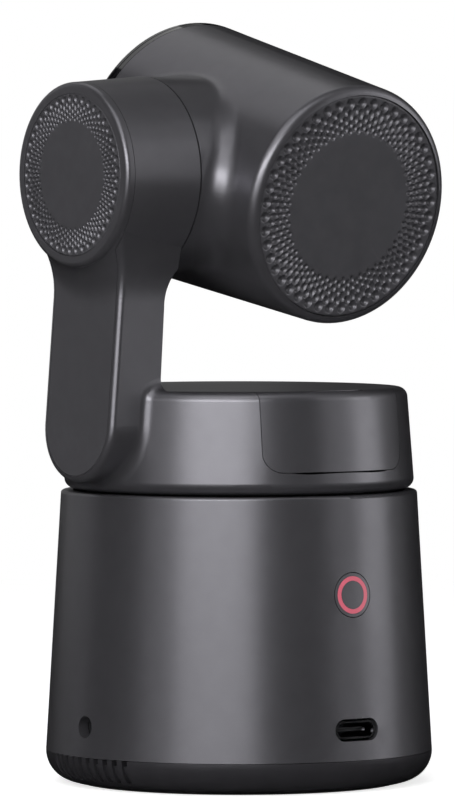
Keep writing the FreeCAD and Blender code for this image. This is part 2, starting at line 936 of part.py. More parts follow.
def behind_arm(offset):
    """Everything on the outer side of the arm's inner face and its bend, moved outwards."""
    low = turret_low - MARGIN
    high = tilt_height + MARGIN
    rise = arm_bend_high - arm_bend_low
    start = VECTOR(arm_back(arm_bend_low) + offset, -FAR, arm_bend_low)
    end = VECTOR(housing_inner_x + offset, -FAR, arm_bend_high)
    half_turn = math.asin(rise / bend_radius()) / 2
    middle_x = start.x - bend_radius() * (1 - math.cos(half_turn))
    middle = VECTOR(middle_x, -FAR, arm_bend_low + bend_radius() * math.sin(half_turn))
    bottom = VECTOR(arm_back(low) + offset, -FAR, low)
    top = VECTOR(end.x, -FAR, high)
    far_top = VECTOR(FAR, -FAR, high)
    far_bottom = VECTOR(FAR, -FAR, low)
    edges = [
        Part.makeLine(bottom, start),
        Part.Arc(start, middle, end).toShape(),
        Part.makeLine(end, top),
        Part.makeLine(top, far_top),
        Part.makeLine(far_top, far_bottom),
        Part.makeLine(far_bottom, bottom),
    ]
    return Part.Face(Part.Wire(edges)).extrude(VECTOR(0, 2 * FAR, 0))


def arm_tongue(inset, back_offset, face):
    """The arm between its inner face and an outer face, its outline inset."""
    outline = arm_outline(inset)
    outline.translate(VECTOR(arm_root_x, 0, 0))
    tongue = outline.extrude(VECTOR(FAR, 0, 0))
    low = turret_low - MARGIN
    high = tilt_height + MARGIN
    tongue = tongue.cut(beyond(face, low, high))
    return tongue.common(behind_arm(back_offset))


def housing_form(offset, low_x, high_x):
    """The tilt housing's cone about the tilt axis, moved inwards by an offset."""
    place = VECTOR(0, 0, tilt_height)

    def radius(station):
        return housing_face_radius + housing_draft * (housing_face_x - station) - offset

    return frustum(radius(low_x), radius(high_x), low_x, high_x, X_AXIS, place)


def housing_apron():
    """Long concave blend from the housing's side down to the arm's outer face."""
    root_x = arm_face(tilt_height - housing_face_radius)
    wall = housing_face_radius + housing_draft * (housing_face_x - root_x)
    reach = wall + arm_apron
    top = VECTOR(arm_apron_height, 0, -wall)
    foot = VECTOR(0, 0, -reach)
    curve = Part.BezierCurve()
    near_top = VECTOR(arm_apron_steep, 0, -wall - arm_apron_steep)
    curve.setPoles([foot, VECTOR(0, 0, -(wall + reach) / 2), near_top, top])
    sunk_foot = foot - X_AXIS * arm_apron_sunk
    sunk_top = VECTOR(-arm_apron_sunk, 0, -wall + arm_apron_sunk)
    inner_top = VECTOR(arm_apron_height, 0, -wall + arm_apron_sunk)
    edges = [
        curve.toShape(),
        Part.makeLine(top, inner_top),
        Part.makeLine(inner_top, sunk_top),
        Part.makeLine(sunk_top, sunk_foot),
        Part.makeLine(sunk_foot, foot),
    ]
    ring = Part.Face(Part.Wire(edges)).revolve(ORIGIN, X_AXIS, FULL_TURN)
    ring.rotate(ORIGIN, Y_AXIS, -math.degrees(math.atan(arm_face_draft)))
    ring.translate(VECTOR(arm_face(tilt_height), 0, tilt_height))
    return ring.common(arm_outline(0).extrude(VECTOR(FAR, 0, 0)))


def on_arm_front(point, edge):
    """Whether an edge runs round the front of the arm and its blend, below the housing."""
    side = arm_outline(0).OuterWire
    middle = (edge.FirstParameter + edge.LastParameter) / 2
    for place in (edge.FirstParameter, middle, edge.LastParameter):
        at = edge.valueAt(place)
        off_side = side.distToShape(Part.Vertex(0, at.y, at.z))[0] > running_gap
        if off_side or at.x < arm_face(at.z) - running_gap:
            return False
    at = edge.valueAt(middle)
    return math.hypot(at.y, tilt_height - at.z) > housing_face_radius + arm_edge_round


def joins_root(point, edge):
    """Whether an edge runs along the arm's flat side where it enters the turret."""
    near_drum = abs(math.hypot(point.x, point.y) - turret_radius(point.z)) < fit_gap
    near_side = abs(abs(point.y) - arm_half_width) < fit_gap
    return near_drum and near_side and edge.Length < arm_half_width


def turret_outside():
    """Outer form of the turret, the arm and the tilt housing, the drum's seam away from the arm."""
    drum = turret_form(0, turret_low, turret_top)
    drum = rounded(drum, turret_round, lambda point, edge: edge.Closed)
    drum.rotate(ORIGIN, Z_AXIS, FULL_TURN / 2)
    tongue = arm_tongue(0, 0, arm_face).fuse(housing_apron()).removeSplitter()
    tongue = rounded(tongue, arm_edge_round, on_arm_front)
    body = drum.fuse(tongue).removeSplitter()
    body = rounded(body, arm_root_round, joins_root)
    housing = housing_form(0, housing_inner_x, housing_face_x)
    housing = rounded(housing, housing_round, lambda point, edge: edge.Closed and point.x > housing_seam_x)
    return body.fuse(housing).removeSplitter()


def cover_region(offset):
    """Room of the arm's cover: an inlay inside the arm's rim, and the housing's end past its seam."""
    low = turret_low - MARGIN
    high = arm_outline(arm_rim).BoundBox.ZMax - offset
    inlay = arm_outline(arm_rim + offset).extrude(VECTOR(FAR, 0, 0))
    inlay = inlay.common(beyond(lambda height: arm_face(height) - arm_seam_depth + offset, low, high))
    place = VECTOR(0, 0, tilt_height)
    cap = cylinder(housing_face_radius + arm_rim, housing_seam_x + offset, FAR, X_AXIS, place)
    return inlay.fuse(cap)


def door_prism(gap):
    """Prism along Y of the door's outline, with rounded lower corners, grown by a gap."""
    half = door_half_width + gap
    low = door_low - gap
    shape = block((-half, half), (panel_y, FAR), (low, turret_top + gap))

    def lower_corner(point, edge):
        return abs(point.z - low) < seat_gap and abs(abs(point.x) - half) < seat_gap

    return rounded(shape, door_corner + gap, lower_corner)


def hinge_line():
    """Middle of the door's hinge pin."""
    height = door_low + hinge_rise
    return VECTOR(0, turret_radius(door_low) - hinge_inset, height)


def hinge_relief():
    """Spindle about the hinge pin that the door's lower edge sweeps through."""
    middle = hinge_line()
    start = middle + VECTOR(-hinge_relief_half, hinge_relief_edge, 0)
    crest = middle + VECTOR(0, hinge_relief_centre, 0)
    end = middle + VECTOR(hinge_relief_half, hinge_relief_edge, 0)
    edges = [
        Part.Arc(start, crest, end).toShape(),
        Part.makeLine(end, middle + VECTOR(hinge_relief_half, 0, 0)),
        Part.makeLine(middle + VECTOR(hinge_relief_half, 0, 0), middle + VECTOR(-hinge_relief_half, 0, 0)),
        Part.makeLine(middle + VECTOR(-hinge_relief_half, 0, 0), start),
    ]
    return Part.Face(Part.Wire(edges)).revolve(middle, X_AXIS, FULL_TURN)


def make_turret_shell():
    """Turret and inner half of the arm, hollow, with the port opening and its screw posts."""
    cavity_low = turret_low + floor_thickness
    cavity_top = turret_top - turret_wall
    shell = turret_outside().cut(cover_region(0))
    shell = shell.cut(turret_form(turret_wall, cavity_low, cavity_top))
    shell = shell.cut(cylinder(floor_radius + seat_gap, turret_low, cavity_low))
    shell = shell.cut(arm_tongue(arm_wall, arm_wall, arm_face))
    inner_wall_x = housing_inner_x + housing_wall
    shell = shell.cut(housing_form(housing_wall, inner_wall_x, housing_face_x))
    tilt_place = VECTOR(0, 0, tilt_height)
    shell = shell.cut(cylinder(tilt_shaft_radius + fit_gap, 0, inner_wall_x, X_AXIS, tilt_place))
    bearing_x = housing_inner_x + bearing_lip
    seat = cylinder(tilt_bearing_radius + running_gap, bearing_x, inner_wall_x, X_AXIS, tilt_place)
    shell = shell.cut(seat)
    for point in turret_post_points(cavity_low):
        post = cylinder(turret_post_radius, 0, cavity_top - cavity_low, Z_AXIS, point)
        shell = shell.fuse(post)
    hole_depth = turret_screw_length + fit_gap + floor_thickness
    for point in turret_post_points(turret_low):
        shell = shell.cut(cylinder(screw_shank - seat_gap, 0, hole_depth, Z_AXIS, point))
    lip_hole = cylinder(door_lip_radius - panel_gap, cavity_top, FAR)
    shell = shell.cut(door_prism(panel_gap).cut(lip_hole))
    return shell.cut(hinge_relief()).removeSplitter()


def make_turret_floor():
    """Floor of the turret with a dark neck below and shoulders for the turret board above."""
    top = turret_low + floor_thickness
    plate = cylinder(floor_radius, turret_low, top)
    plate = plate.fuse(tube(neck_inner_radius, neck_outer_radius, turret_low - hub_flange, top))
    for point in turret_post_points(0):
        inner = turret_post_radius + fit_gap
        outer = inner + turret_post_radius / 2
        sleeve = tube(inner, outer, top, turret_board_low, Z_AXIS, point)
        plate = plate.fuse(sleeve)
    plate = plate.cut(cylinder(hub_bore, 0, FAR))
    for point in turret_post_points(0):
        plate = plate.cut(cylinder(screw_shank + seat_gap, 0, top, Z_AXIS, point))
        head_top = turret_low + turret_screw_head
        plate = plate.cut(cylinder(turret_screw_head_radius + seat_gap, 0, head_top, Z_AXIS, point))
    return plate.removeSplitter()


def make_turret_screws():
    """Three screws from the turret's floor up into its posts."""
    shank = screw_shank - fit_gap
    model = screw(shank, turret_screw_length, turret_screw_head_radius, turret_screw_head)
    seats = turret_post_points(turret_low + turret_screw_head)
    return Part.makeCompound([placed(model, point) for point in seats])


def make_turret_board():
    """Circuit board of the turret, cut straight behind the port panel."""
    low = turret_board_low
    high = low + board_thickness
    board = cylinder(turret_board_radius, low, high)
    board = board.cut(block((-FAR, FAR), (panel_y - fit_gap, FAR), (low, high)))
    for point in turret_post_points(0):
        board = board.cut(cylinder(turret_post_radius + fit_gap, low, high, Z_AXIS, point))
    return board


def socket_front():
    """Y of the two sockets' mouths, inside the panel's thickness."""
    return panel_y + panel_thickness / 2


def make_hdmi_socket():
    """Video socket on the turret board: a metal sleeve with a tongue."""
    low = turret_board_low + board_thickness
    front = socket_front()
    back = front - hdmi_depth
    sleeve = block(spread(hdmi_x, hdmi_width), (back, front), (low, low + hdmi_height))
    room = block(
        spread(hdmi_x, hdmi_width - 2 * port_metal),
        (back + port_metal, front),
        (low + port_metal, low + hdmi_height - port_metal),
    )
    tongue_z = low + hdmi_height / 2
    depth = (back, front - 2 * port_metal)
    tongue = block(spread(hdmi_x, hdmi_tongue_width), depth, spread(tongue_z, port_tongue_height))
    return joined(sleeve.cut(room), tongue)


def make_card_socket():
    """Slot for a memory card on the turret board."""
    low = turret_board_low + board_thickness
    front = socket_front()
    body = block(spread(card_x, card_width), (front - card_socket_depth, front), (low, low + card_height))
    room_height = memory_card_height + fit_gap
    room = block(
        spread(card_x, memory_card_width + fit_gap),
        (front - card_socket_depth + port_metal, front),
        spread(low + card_height / 2, room_height),
    )
    return body.cut(room)


def make_memory_card():
    """Memory card in its slot, its edge standing proud."""
    middle = turret_board_low + board_thickness + card_height / 2
    front = socket_front() + memory_card_proud
    back = socket_front() - card_socket_depth + port_metal + seat_gap
    return block(spread(card_x, memory_card_width), (back, front), spread(middle, memory_card_height))


def make_port_panel():
    """Panel behind the door, with cheeks, a shelf, socket cut-outs and the hinge's two ears."""
    floor_top = turret_low + floor_thickness
    top = turret_top - turret_wall - seat_gap
    front = panel_y + panel_thickness
    panel = block(spread(0, panel_width), (panel_y, front), (floor_top, top))
    cheek_inner = door_half_width + body_gap
    for side in (-1, 1):
        span = sorted((side * cheek_inner, side * (cheek_inner + cheek_thickness)))
        panel = panel.fuse(block(span, (panel_y, shelf_reach), (floor_top, top)))
    shelf_top = shelf_low + shelf_thickness
    shelf = block(spread(0, 2 * cheek_inner), (panel_y, shelf_reach), (shelf_low, shelf_top))
    panel = panel.fuse(shelf)
    panel = panel.common(turret_form(turret_wall + fit_gap, floor_top, top))
    hinge = hinge_line()
    for side in (-1, 1):
        near = hinge_knuckle_half + hinge_ear_gap
        span = sorted((side * near, side * (near + hinge_ear_width)))
        bar = block(span, (front - panel_thickness / 2, hinge.y), spread(hinge.z, 2 * hinge_ear_radius))
        end = cylinder(hinge_ear_radius, span[0], span[1], X_AXIS, hinge)
        panel = panel.fuse(bar).fuse(end)
    reach = hinge_knuckle_half + hinge_ear_gap + hinge_ear_width
    panel = panel.cut(cylinder(hinge_pin_radius + pin_gap, -reach, reach, X_AXIS, hinge))
    board_top = turret_board_low + board_thickness
    for middle, width, height in ((hdmi_x, hdmi_width, hdmi_height), (card_x, card_width, card_height)):
        hole = block(
            spread(middle, width + fit_gap),
            (panel_y, front),
            (board_top - seat_gap, board_top + height + seat_gap),
        )
        panel = panel.cut(hole)
    return panel.removeSplitter()


def make_door_hinge_pin():
    """Thin pin through the panel's ears and the door's knuckle."""
    reach = hinge_knuckle_half + hinge_ear_gap + hinge_ear_width
    return cylinder(hinge_pin_radius, -reach, reach, X_AXIS, hinge_line())


def make_port_door():
    """Curved door that wraps over the turret's top edge, with a nail notch and a hinge knuckle."""
    drum = turret_form(0, turret_low, turret_top)
    drum = rounded(drum, turret_round, lambda point, edge: edge.Closed and point.z > turret_top - seat_gap)
    door = drum.common(door_prism(0))
    lip_low = turret_top - door_lip
    door = door.cut(turret_form(door_wall, turret_low, lip_low))
    door = door.cut(cylinder(door_lip_radius, 0, FAR))
    notch_low = turret_top - notch_depth
    notch = tube(door_lip_radius - notch_reach, door_lip_radius + notch_reach, notch_low, turret_top)
    door = door.cut(notch.common(block(spread(0, 2 * notch_half_width), (0, FAR), (0, FAR))))
    hinge = hinge_line()
    near = hinge_knuckle_half
    far = hinge_knuckle_half + hinge_ear_width + 2 * hinge_ear_gap
    for side in (-1, 1):
        span = sorted((side * near, side * far))
        room = block(span, (0, hinge.y + hinge_skin), (0, hinge.z + hinge_skin))
        door = door.cut(room)
    knuckle = cylinder(hinge_ear_radius, -near, near, X_AXIS, hinge)
    web = block((-near, near), (hinge.y, hinge.y + hinge_skin), spread(hinge.z, 2 * hinge_ear_radius))
    door = door.fuse(knuckle).fuse(web.common(drum))
    return door.cut(cylinder(hinge_pin_radius + running_gap, -near, near, X_AXIS, hinge)).removeSplitter()


def make_arm_cover():
    """Outer skin of the arm and of the tilt housing, with a plug that sits in the arm's hollow."""
    cover = turret_outside().common(cover_region(seat_gap))
    plug = arm_tongue(arm_wall + fit_gap, arm_wall, arm_face)
    inner = beyond(lambda height: arm_face(height) - arm_seam_depth - arm_plate, turret_low, tilt_height)
    plug = plug.common(inner)
    neck_top = tilt_height - housing_face_radius
    plug = plug.cut(block((0, FAR), (-FAR, FAR), (neck_top, FAR)))
    disc_radius = housing_face_radius - housing_wall - fit_gap
    place = VECTOR(0, 0, tilt_height)
    disc = cylinder(disc_radius, housing_seam_x - arm_plate, housing_seam_x + arm_plate, X_AXIS, place)
    cover = cover.fuse(plug.common(turret_outside()))
    cover = cover.cut(cylinder(disc_radius, 0, housing_seam_x - arm_plate, X_AXIS, place)).fuse(disc)
    recess_x = housing_face_x - arm_grille_depth
    cover = cover.cut(cylinder(arm_grille_radius, recess_x, FAR, X_AXIS, place))
    return cover.removeSplitter()


def make_arm_grille():
    """Round insert in the arm's outer face."""
    place = VECTOR(0, 0, tilt_height)
    back = housing_face_x - arm_grille_depth
    front = housing_face_x - arm_grille_setback
    return cylinder(arm_grille_radius - seat_gap, back, front, X_AXIS, place)


def make_tilt_bearing():
    """Thin bearing ring in the housing's inner wall."""
    low = housing_inner_x + bearing_lip
    high = housing_inner_x + housing_wall
    place = VECTOR(0, 0, tilt_height)
    return tube(tilt_shaft_radius + running_gap, tilt_bearing_radius, low, high, X_AXIS, place)


def make_tilt_stator():
    """Tilt motor's stator against the housing's inner wall."""
    low = housing_inner_x + housing_wall
    high = low + tilt_stator_length
    place = VECTOR(0, 0, tilt_height)
    return stator(tilt_stator_radius, tilt_magnet_radius + body_gap, low, high, X_AXIS, place)


def make_encoder_board():
    """Small round board that reads the tilt angle."""
    place = VECTOR(0, 0, tilt_height)
    return cylinder(encoder_radius, encoder_x, encoder_x + encoder_thickness, X_AXIS, place)


def head_side(inset):
    """X, from the head's own axis, of the boss's outer end moved inwards."""
    return housing_inner_x - boss_gap - head_x - inset


def make_tilt_hub():
    """Hollow shaft that carries the head, flanged inside the head's boss."""
    start = head_side(boss_end_wall)
    end = tilt_shaft_end - head_x
    hub = cylinder(tilt_shaft_radius, start - tilt_flange, end, X_AXIS)
    hub = hub.fuse(cylinder(tilt_flange_radius, start - tilt_flange, start, X_AXIS))
    return at_head(hub.cut(cylinder(tilt_shaft_bore, 0, end, X_AXIS)).removeSplitter())


def make_tilt_rotor():
    """Magnet ring on the tilt shaft."""
    low = housing_inner_x + housing_wall + 2 * fit_gap - head_x
    high = low + tilt_magnet_length
    return at_head(tube(tilt_shaft_radius + running_gap, tilt_magnet_radius, low, high, X_AXIS))


def head_form(offset, low, high):
    """The head's outer cone moved inwards by an offset."""
    return frustum(head_radius(low) - offset, head_radius(high) - offset, low, high, Y_AXIS)


def chassis_screw_points(station):
    """Middles of the screws that hold the head's inner frame."""
    points = []
    for angle in even_angles(chassis_screw_count, chassis_screw_first_deg):
        flat = polar(chassis_screw_ring_radius, angle)
        points.append(VECTOR(flat.x, station, flat.y))
    return points


def make_head_shell():
    """Tapered barrel of the head with the boss that meets the arm, open at both ends."""
    barrel = head_form(0, head_front, head_rear)
    rear = head_rear - seat_gap
    barrel = rounded(barrel, head_rear_round, lambda point, edge: edge.Closed and point.y > rear)
    side = head_side(0)
    boss = cylinder(boss_radius, 0, side + boss_radius, X_AXIS)
    body = barrel.fuse(boss)
    body = rounded(body, boss_blend, lambda point, edge: meets_boss(edge))
    body = body.cut(block((side, FAR), (-FAR, FAR), (-FAR, FAR)))
    ledge_low = head_rear - rear_grille_setback - rear_grille_thickness - rear_ledge
    body = body.cut(head_form(head_wall, head_front, ledge_low))
    body = body.cut(cylinder(boss_pocket_radius, 0, head_side(boss_end_wall), X_AXIS))
    body = body.cut(cylinder(tilt_shaft_radius + seat_gap, 0, side, X_AXIS))
    body = body.cut(cylinder(rear_ledge_radius, ledge_low, FAR, Y_AXIS))
    body = body.cut(cylinder(rear_opening_radius, ledge_low + rear_ledge, FAR, Y_AXIS))
    seat = chassis_y + chassis_thickness
    ledge_outer = head_radius(seat) - head_wall / 2
    ledge_inner = head_radius(seat) - head_wall - ledge_reach
    body = body.fuse(tube(ledge_inner, ledge_outer, seat, seat + head_wall, Y_AXIS))
    for point in chassis_screw_points(seat):
        body = body.fuse(cylinder(chassis_boss_radius, 0, chassis_boss_length, Y_AXIS, point))
    for point in chassis_screw_points(seat):
        body = body.cut(cylinder(small_screw_shank, 0, small_screw_length, Y_AXIS, point))
    return at_head(body.removeSplitter())


def meets_boss(edge):
    """Whether an edge runs round the boss where it enters the barrel."""
    middle = (edge.FirstParameter + edge.LastParameter) / 2
    points = [edge.valueAt(edge.FirstParameter), edge.valueAt(middle)]
    return all(
        abs(math.hypot(point.y, point.z) - boss_radius) < running_gap and 0 < point.x < head_side(0)
        for point in points
    )


def make_front_bezel():
    """Black ring at the front of the head, with a fine groove and a spigot into the shell."""
    rear = head_front - seat_gap
    ring = head_form(0, bezel_front, rear)
    ring = rounded(ring, bezel_round, lambda point, edge: edge.Closed and point.y < bezel_front + seat_gap)
    spigot_outer = head_radius(rear + bezel_spigot) - head_wall - seat_gap
    ring = ring.fuse(cylinder(spigot_outer, rear, rear + bezel_spigot, Y_AXIS))
    ring = ring.cut(cylinder(bezel_lip_radius, bezel_front, rear + bezel_spigot, Y_AXIS))
    ring = ring.cut(cylinder(bezel_bore, bezel_front, fascia_front + fascia_thickness, Y_AXIS))
    groove_y = (bezel_front + rear) / 2
    groove_radius = head_radius(groove_y) - fit_gap
    groove = tube(groove_radius, 2 * head_middle_radius, groove_y, groove_y + fit_gap, Y_AXIS)
    return at_head(ring.cut(groove).removeSplitter())


def make_front_fascia():
    """Glossy front plate with the hole for the lens."""
    rear = fascia_front + fascia_thickness
    hole = lens_hole_radius + trim_ring_wall + seat_gap
    return at_head(tube(hole, bezel_bore - seat_gap, fascia_front, rear, Y_AXIS))


def make_lens_trim_ring():
    """Thin metal ring round the lens."""
    front = fascia_front - fit_gap
    ring = tube(lens_hole_radius, lens_hole_radius + trim_ring_wall, front, barrel_front, Y_AXIS)
    ring = rounded(ring, trim_ring_wall / 4, lambda point, edge: edge.Closed and point.y < front + seat_gap)
    return at_head(ring)


def make_lens_barrel():
    """Tube that holds the lenses, flanged against the head's inner frame."""
    tube_part = cylinder(barrel_outer_radius, barrel_front, chassis_y, Y_AXIS)
    flange = cylinder(barrel_flange_radius, chassis_y - barrel_flange, chassis_y, Y_AXIS)
    return at_head(joined(tube_part, flange).cut(cylinder(barrel_bore, barrel_front, chassis_y, Y_AXIS)))


def make_front_lens():
    """Front lens, domed outwards."""
    rear_bulge = front_lens_bulge / 3
    lens = lens_element(front_lens_radius, front_lens_edge, front_lens_bulge, rear_bulge, front_lens_y)
    return at_head(lens)


def make_rear_lens():
    """Rear lens, in front of the image sensor."""
    radius = barrel_bore - fit_gap
    return at_head(lens_element(radius, rear_lens_edge, lens_bulge, lens_bulge, rear_lens_y))


def make_focus_carrier():
    """Ring that slides in the barrel to focus."""
    outer = barrel_bore - fit_gap
    return at_head(tube(carrier_bore, outer, carrier_low, carrier_low + carrier_length, Y_AXIS))


def make_focus_lens():
    """Lens in the sliding ring."""
    start = carrier_low + carrier_length / 4
    radius = carrier_bore - running_gap
    return at_head(lens_element(radius, carrier_length / 2, lens_bulge, lens_bulge, start))


def make_head_chassis():
    """Round inner frame of the head with a window for the sensor."""
    rear = chassis_y + chassis_thickness
    plate = cylinder(head_radius(rear) - head_wall - fit_gap, chassis_y, rear, Y_AXIS)
    window = block(spread(0, chassis_window_x), (chassis_y, rear), spread(0, chassis_window_z))
    plate = plate.cut(window)
    for point in chassis_screw_points(chassis_y):
        plate = plate.cut(cylinder(small_screw_shank + seat_gap, 0, chassis_thickness, Y_AXIS, point))
    return at_head(plate)


def make_chassis_screws():
    """Four screws, inner frame to shell."""
    shank = small_screw_shank - running_gap
    model = screw(shank, small_screw_length, small_screw_head_radius, small_screw_head, fit_gap)
    screws = [placed(model, point, Y_AXIS) for point in chassis_screw_points(chassis_y)]
    return at_head(Part.makeCompound(screws))


def make_image_sensor():
    """Sensor chip in the frame's window."""
    rear = chassis_y + chassis_thickness
    depth = (rear - sensor_thickness, rear)
    return at_head(block(spread(0, sensor_width), depth, spread(0, sensor_height)))


def make_sensor_board():
    """Circuit board behind the frame."""
    front = chassis_y + chassis_thickness
    size = sensor_board_size
    return at_head(block(spread(0, size), (front, front + sensor_board_thickness), spread(0, size)))


def make_head_heat_sink():
    """Finned block on the sensor board."""
    size = head_sink_size
    sink = finned_block(size, size, head_sink_base, head_sink_height, head_sink_fins, sink_fin)
    station = chassis_y + chassis_thickness + sensor_board_thickness
    return at_head(placed(sink, VECTOR(0, station, 0), Y_AXIS))


def grille_back():
    """Station of the rear insert's inner face."""
    return head_rear - rear_grille_setback - rear_grille_thickness


def make_rear_grille():
    """Round insert in the rear of the head."""
    radius = rear_opening_radius - seat_gap
    return at_head(cylinder(radius, grille_back(), grille_back() + rear_grille_thickness, Y_AXIS))


def make_microphone_board():
    """Round board behind the rear insert."""
    rear = grille_back() - fit_gap
    return at_head(cylinder(mic_board_radius, rear - mic_board_thickness, rear, Y_AXIS))


def make_head_microphones():
    """Two microphones on their board."""
    rear = grille_back() - fit_gap - mic_board_thickness
    pair = [
        block(spread(side * mic_spread, mic_size), (rear - mic_height, rear), spread(0, mic_size))
        for side in (-1, 1)
    ]
    return at_head(Part.makeCompound(pair))


PIECES = {
    "base_shell": make_base_shell,
    "bottom_cover": make_bottom_cover,
    "rubber_foot": make_rubber_foot,
    "tripod_bush": make_tripod_bush,
    "bottom_screws": make_bottom_screws,
    "base_frame": make_base_frame,
    "main_board": make_main_board,
    "main_processor": make_main_processor,
    "heat_sink": make_heat_sink,
    "usb_receptacle": make_usb_receptacle,
    "audio_jack": make_audio_jack,
    "battery_cradle": make_battery_cradle,
    "battery_pack": make_battery_pack,
    "button_board": make_button_board,
    "tact_switch": make_tact_switch,
    "base_top_plate": make_base_top_plate,
    "plate_screws": make_plate_screws,
    "pan_bearing": make_pan_bearing,
    "pan_motor_stator": make_pan_stator,
    "power_button_cap": make_power_button_cap,
    "button_light_ring": make_button_light_ring,
    "turret_shell": make_turret_shell,
    "turret_floor": make_turret_floor,
    "turret_screws": make_turret_screws,
    "pan_hub": make_pan_hub,
    "pan_rotor": make_pan_rotor,
    "turret_board": make_turret_board,
    "hdmi_socket": make_hdmi_socket,
    "card_socket": make_card_socket,
    "memory_card": make_memory_card,
    "port_panel": make_port_panel,
    "door_hinge_pin": make_door_hinge_pin,
    "port_door": make_port_door,
    "arm_cover": make_arm_cover,
    "arm_grille": make_arm_grille,
    "tilt_bearing": make_tilt_bearing,
    "tilt_motor_stator": make_tilt_stator,
    "encoder_board": make_encoder_board,
    "head_shell": make_head_shell,
    "front_bezel": make_front_bezel,
    "front_fascia": make_front_fascia,
    "lens_trim_ring": make_lens_trim_ring,
    "rear_grille": make_rear_grille,
    "head_chassis": make_head_chassis,
    "chassis_screws": make_chassis_screws,
    "tilt_hub": make_tilt_hub,
    "tilt_rotor": make_tilt_rotor,
    "lens_barrel": make_lens_barrel,
    "front_lens": make_front_lens,
    "rear_lens": make_rear_lens,
    "focus_carrier": make_focus_carrier,
    "focus_lens": make_focus_lens,
    "image_sensor": make_image_sensor,
    "sensor_board": make_sensor_board,
    "head_heat_sink": make_head_heat_sink,
    "microphone_board": make_microphone_board,
    "head_microphones": make_head_microphones,
}

os.makedirs("parts", exist_ok=True)
for name, maker in PIECES.items():
    shape = maker()
    shape.exportStep(os.path.join("parts", name + ".step"))
    print(f"{name}: {len(shape.Solids)} solid(s), {shape.Volume:.1f} mm3, valid {shape.isValid()}")
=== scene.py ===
"""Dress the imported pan-tilt camera: finishes, two pressed dimple discs, stage, lamps and camera."""

import json
import logging
import math
from abc import ABC, abstractmethod
from collections.abc import Callable
from dataclasses import dataclass, field
from enum import Enum

import bmesh
import bpy
from mathutils import Matrix, Vector


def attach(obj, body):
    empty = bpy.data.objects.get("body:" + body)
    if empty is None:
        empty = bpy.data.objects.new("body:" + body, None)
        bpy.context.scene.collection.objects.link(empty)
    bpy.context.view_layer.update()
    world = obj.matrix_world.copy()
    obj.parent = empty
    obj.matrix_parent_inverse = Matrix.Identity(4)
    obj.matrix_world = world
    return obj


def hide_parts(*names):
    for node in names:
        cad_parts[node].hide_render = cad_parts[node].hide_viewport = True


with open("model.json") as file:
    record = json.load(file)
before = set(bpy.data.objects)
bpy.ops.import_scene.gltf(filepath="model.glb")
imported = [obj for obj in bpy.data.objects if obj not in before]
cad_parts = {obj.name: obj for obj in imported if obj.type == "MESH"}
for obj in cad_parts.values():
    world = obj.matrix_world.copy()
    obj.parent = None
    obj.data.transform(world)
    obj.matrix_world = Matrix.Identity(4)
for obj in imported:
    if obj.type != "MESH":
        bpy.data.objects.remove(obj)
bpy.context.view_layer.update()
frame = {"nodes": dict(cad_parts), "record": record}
LOG = logging.getLogger("pan_tilt_camera")

Triple = tuple[float, float, float]
Colour = Triple
Band = tuple[float, float]

MILLIMETRE = 0.001
WHITE = (1.0, 1.0, 1.0)

# Where the CAD holds the head, in millimetres and degrees.
HEAD_MIDDLE_X = -4.5
TILT_AXIS_HEIGHT = 111.5
REST_TILT_DEG = 11.9

# Modelling distances in metres, and the angle over which an edge stays crisp.
WELD_DISTANCE = 0.01 * MILLIMETRE
PICK_SLACK = 0.02 * MILLIMETRE
CRISP_EDGE_DEG = 60.0

# Most noise values lie in this band, so it is stretched to the full range.
NOISE_BAND = (0.3, 0.7)


def deselect() -> None:
    """Leave edit mode and deselect every object."""
    if bpy.context.object and bpy.context.object.mode != "OBJECT":
        bpy.ops.object.mode_set(mode="OBJECT")
    bpy.ops.object.select_all(action="DESELECT")


def take(piece: bpy.types.Object) -> None:
    """Make one object the only selected and active one.

    Args:
        piece: The object to work on.
    """
    deselect()
    piece.select_set(True)
    bpy.context.view_layer.objects.active = piece


def edit(piece: bpy.types.Object) -> None:
    """Take one object and open it in edit mode with all of it selected.

    Args:
        piece: The object to open.
    """
    take(piece)
    bpy.ops.object.mode_set(mode="EDIT")
    bpy.ops.mesh.select_mode(type="VERT")
    bpy.ops.mesh.select_all(action="SELECT")


def pick_points(piece: bpy.types.Object, test: Callable[[Vector], bool]) -> None:
    """Select only the vertices, of the mesh in edit mode, whose place passes a test.

    Args:
        piece: The object in edit mode.
        test: Says whether a vertex place is wanted.
    """
    mesh = bmesh.from_edit_mesh(piece.data)
    bpy.ops.mesh.select_all(action="DESELECT")
    for vertex in mesh.verts:
        if test(vertex.co):
            vertex.select_set(True)
    mesh.select_flush(True)
    bmesh.update_edit_mesh(piece.data)


def extrude(scale: float = 1.0, drop: float = 0.0) -> None:
    """Extrude what is selected, lower it, and widen or narrow it about its middle.

    Args:
        scale: What X and Y are multiplied by.
        drop: How far down it goes, in metres.
    """
    bpy.ops.mesh.extrude_region_move(TRANSFORM_OT_translate={"value": (0, 0, -drop)})
    bpy.ops.transform.resize(value=(scale, scale, 1.0))


def settle(piece: bpy.types.Object) -> None:
    """Put a finished piece's place into its mesh and smooth it by angle.

    Args:
        piece: The finished object.
    """
    take(piece)
    bpy.ops.object.transform_apply(location=True, rotation=True, scale=True)
    bpy.ops.object.shade_smooth_by_angle(angle=math.radians(CRISP_EDGE_DEG))


def finish_modifiers(piece: bpy.types.Object) -> None:
    """Apply every modifier of a piece in order.

    Args:
        piece: The object whose modifiers are applied.
    """
    take(piece)
    for name in [modifier.name for modifier in piece.modifiers]:
        bpy.ops.object.modifier_apply(modifier=name)


def shifted(x: float = 0.0, y: float = 0.0, z: float = 0.0) -> Matrix:
    """A move given in millimetres.

    Args:
        x: Along X.
        y: Along Y.
        z: Along Z.

    Returns:
        The transform in metres.
    """
    return Matrix.Translation(Vector((x, y, z)) * MILLIMETRE)


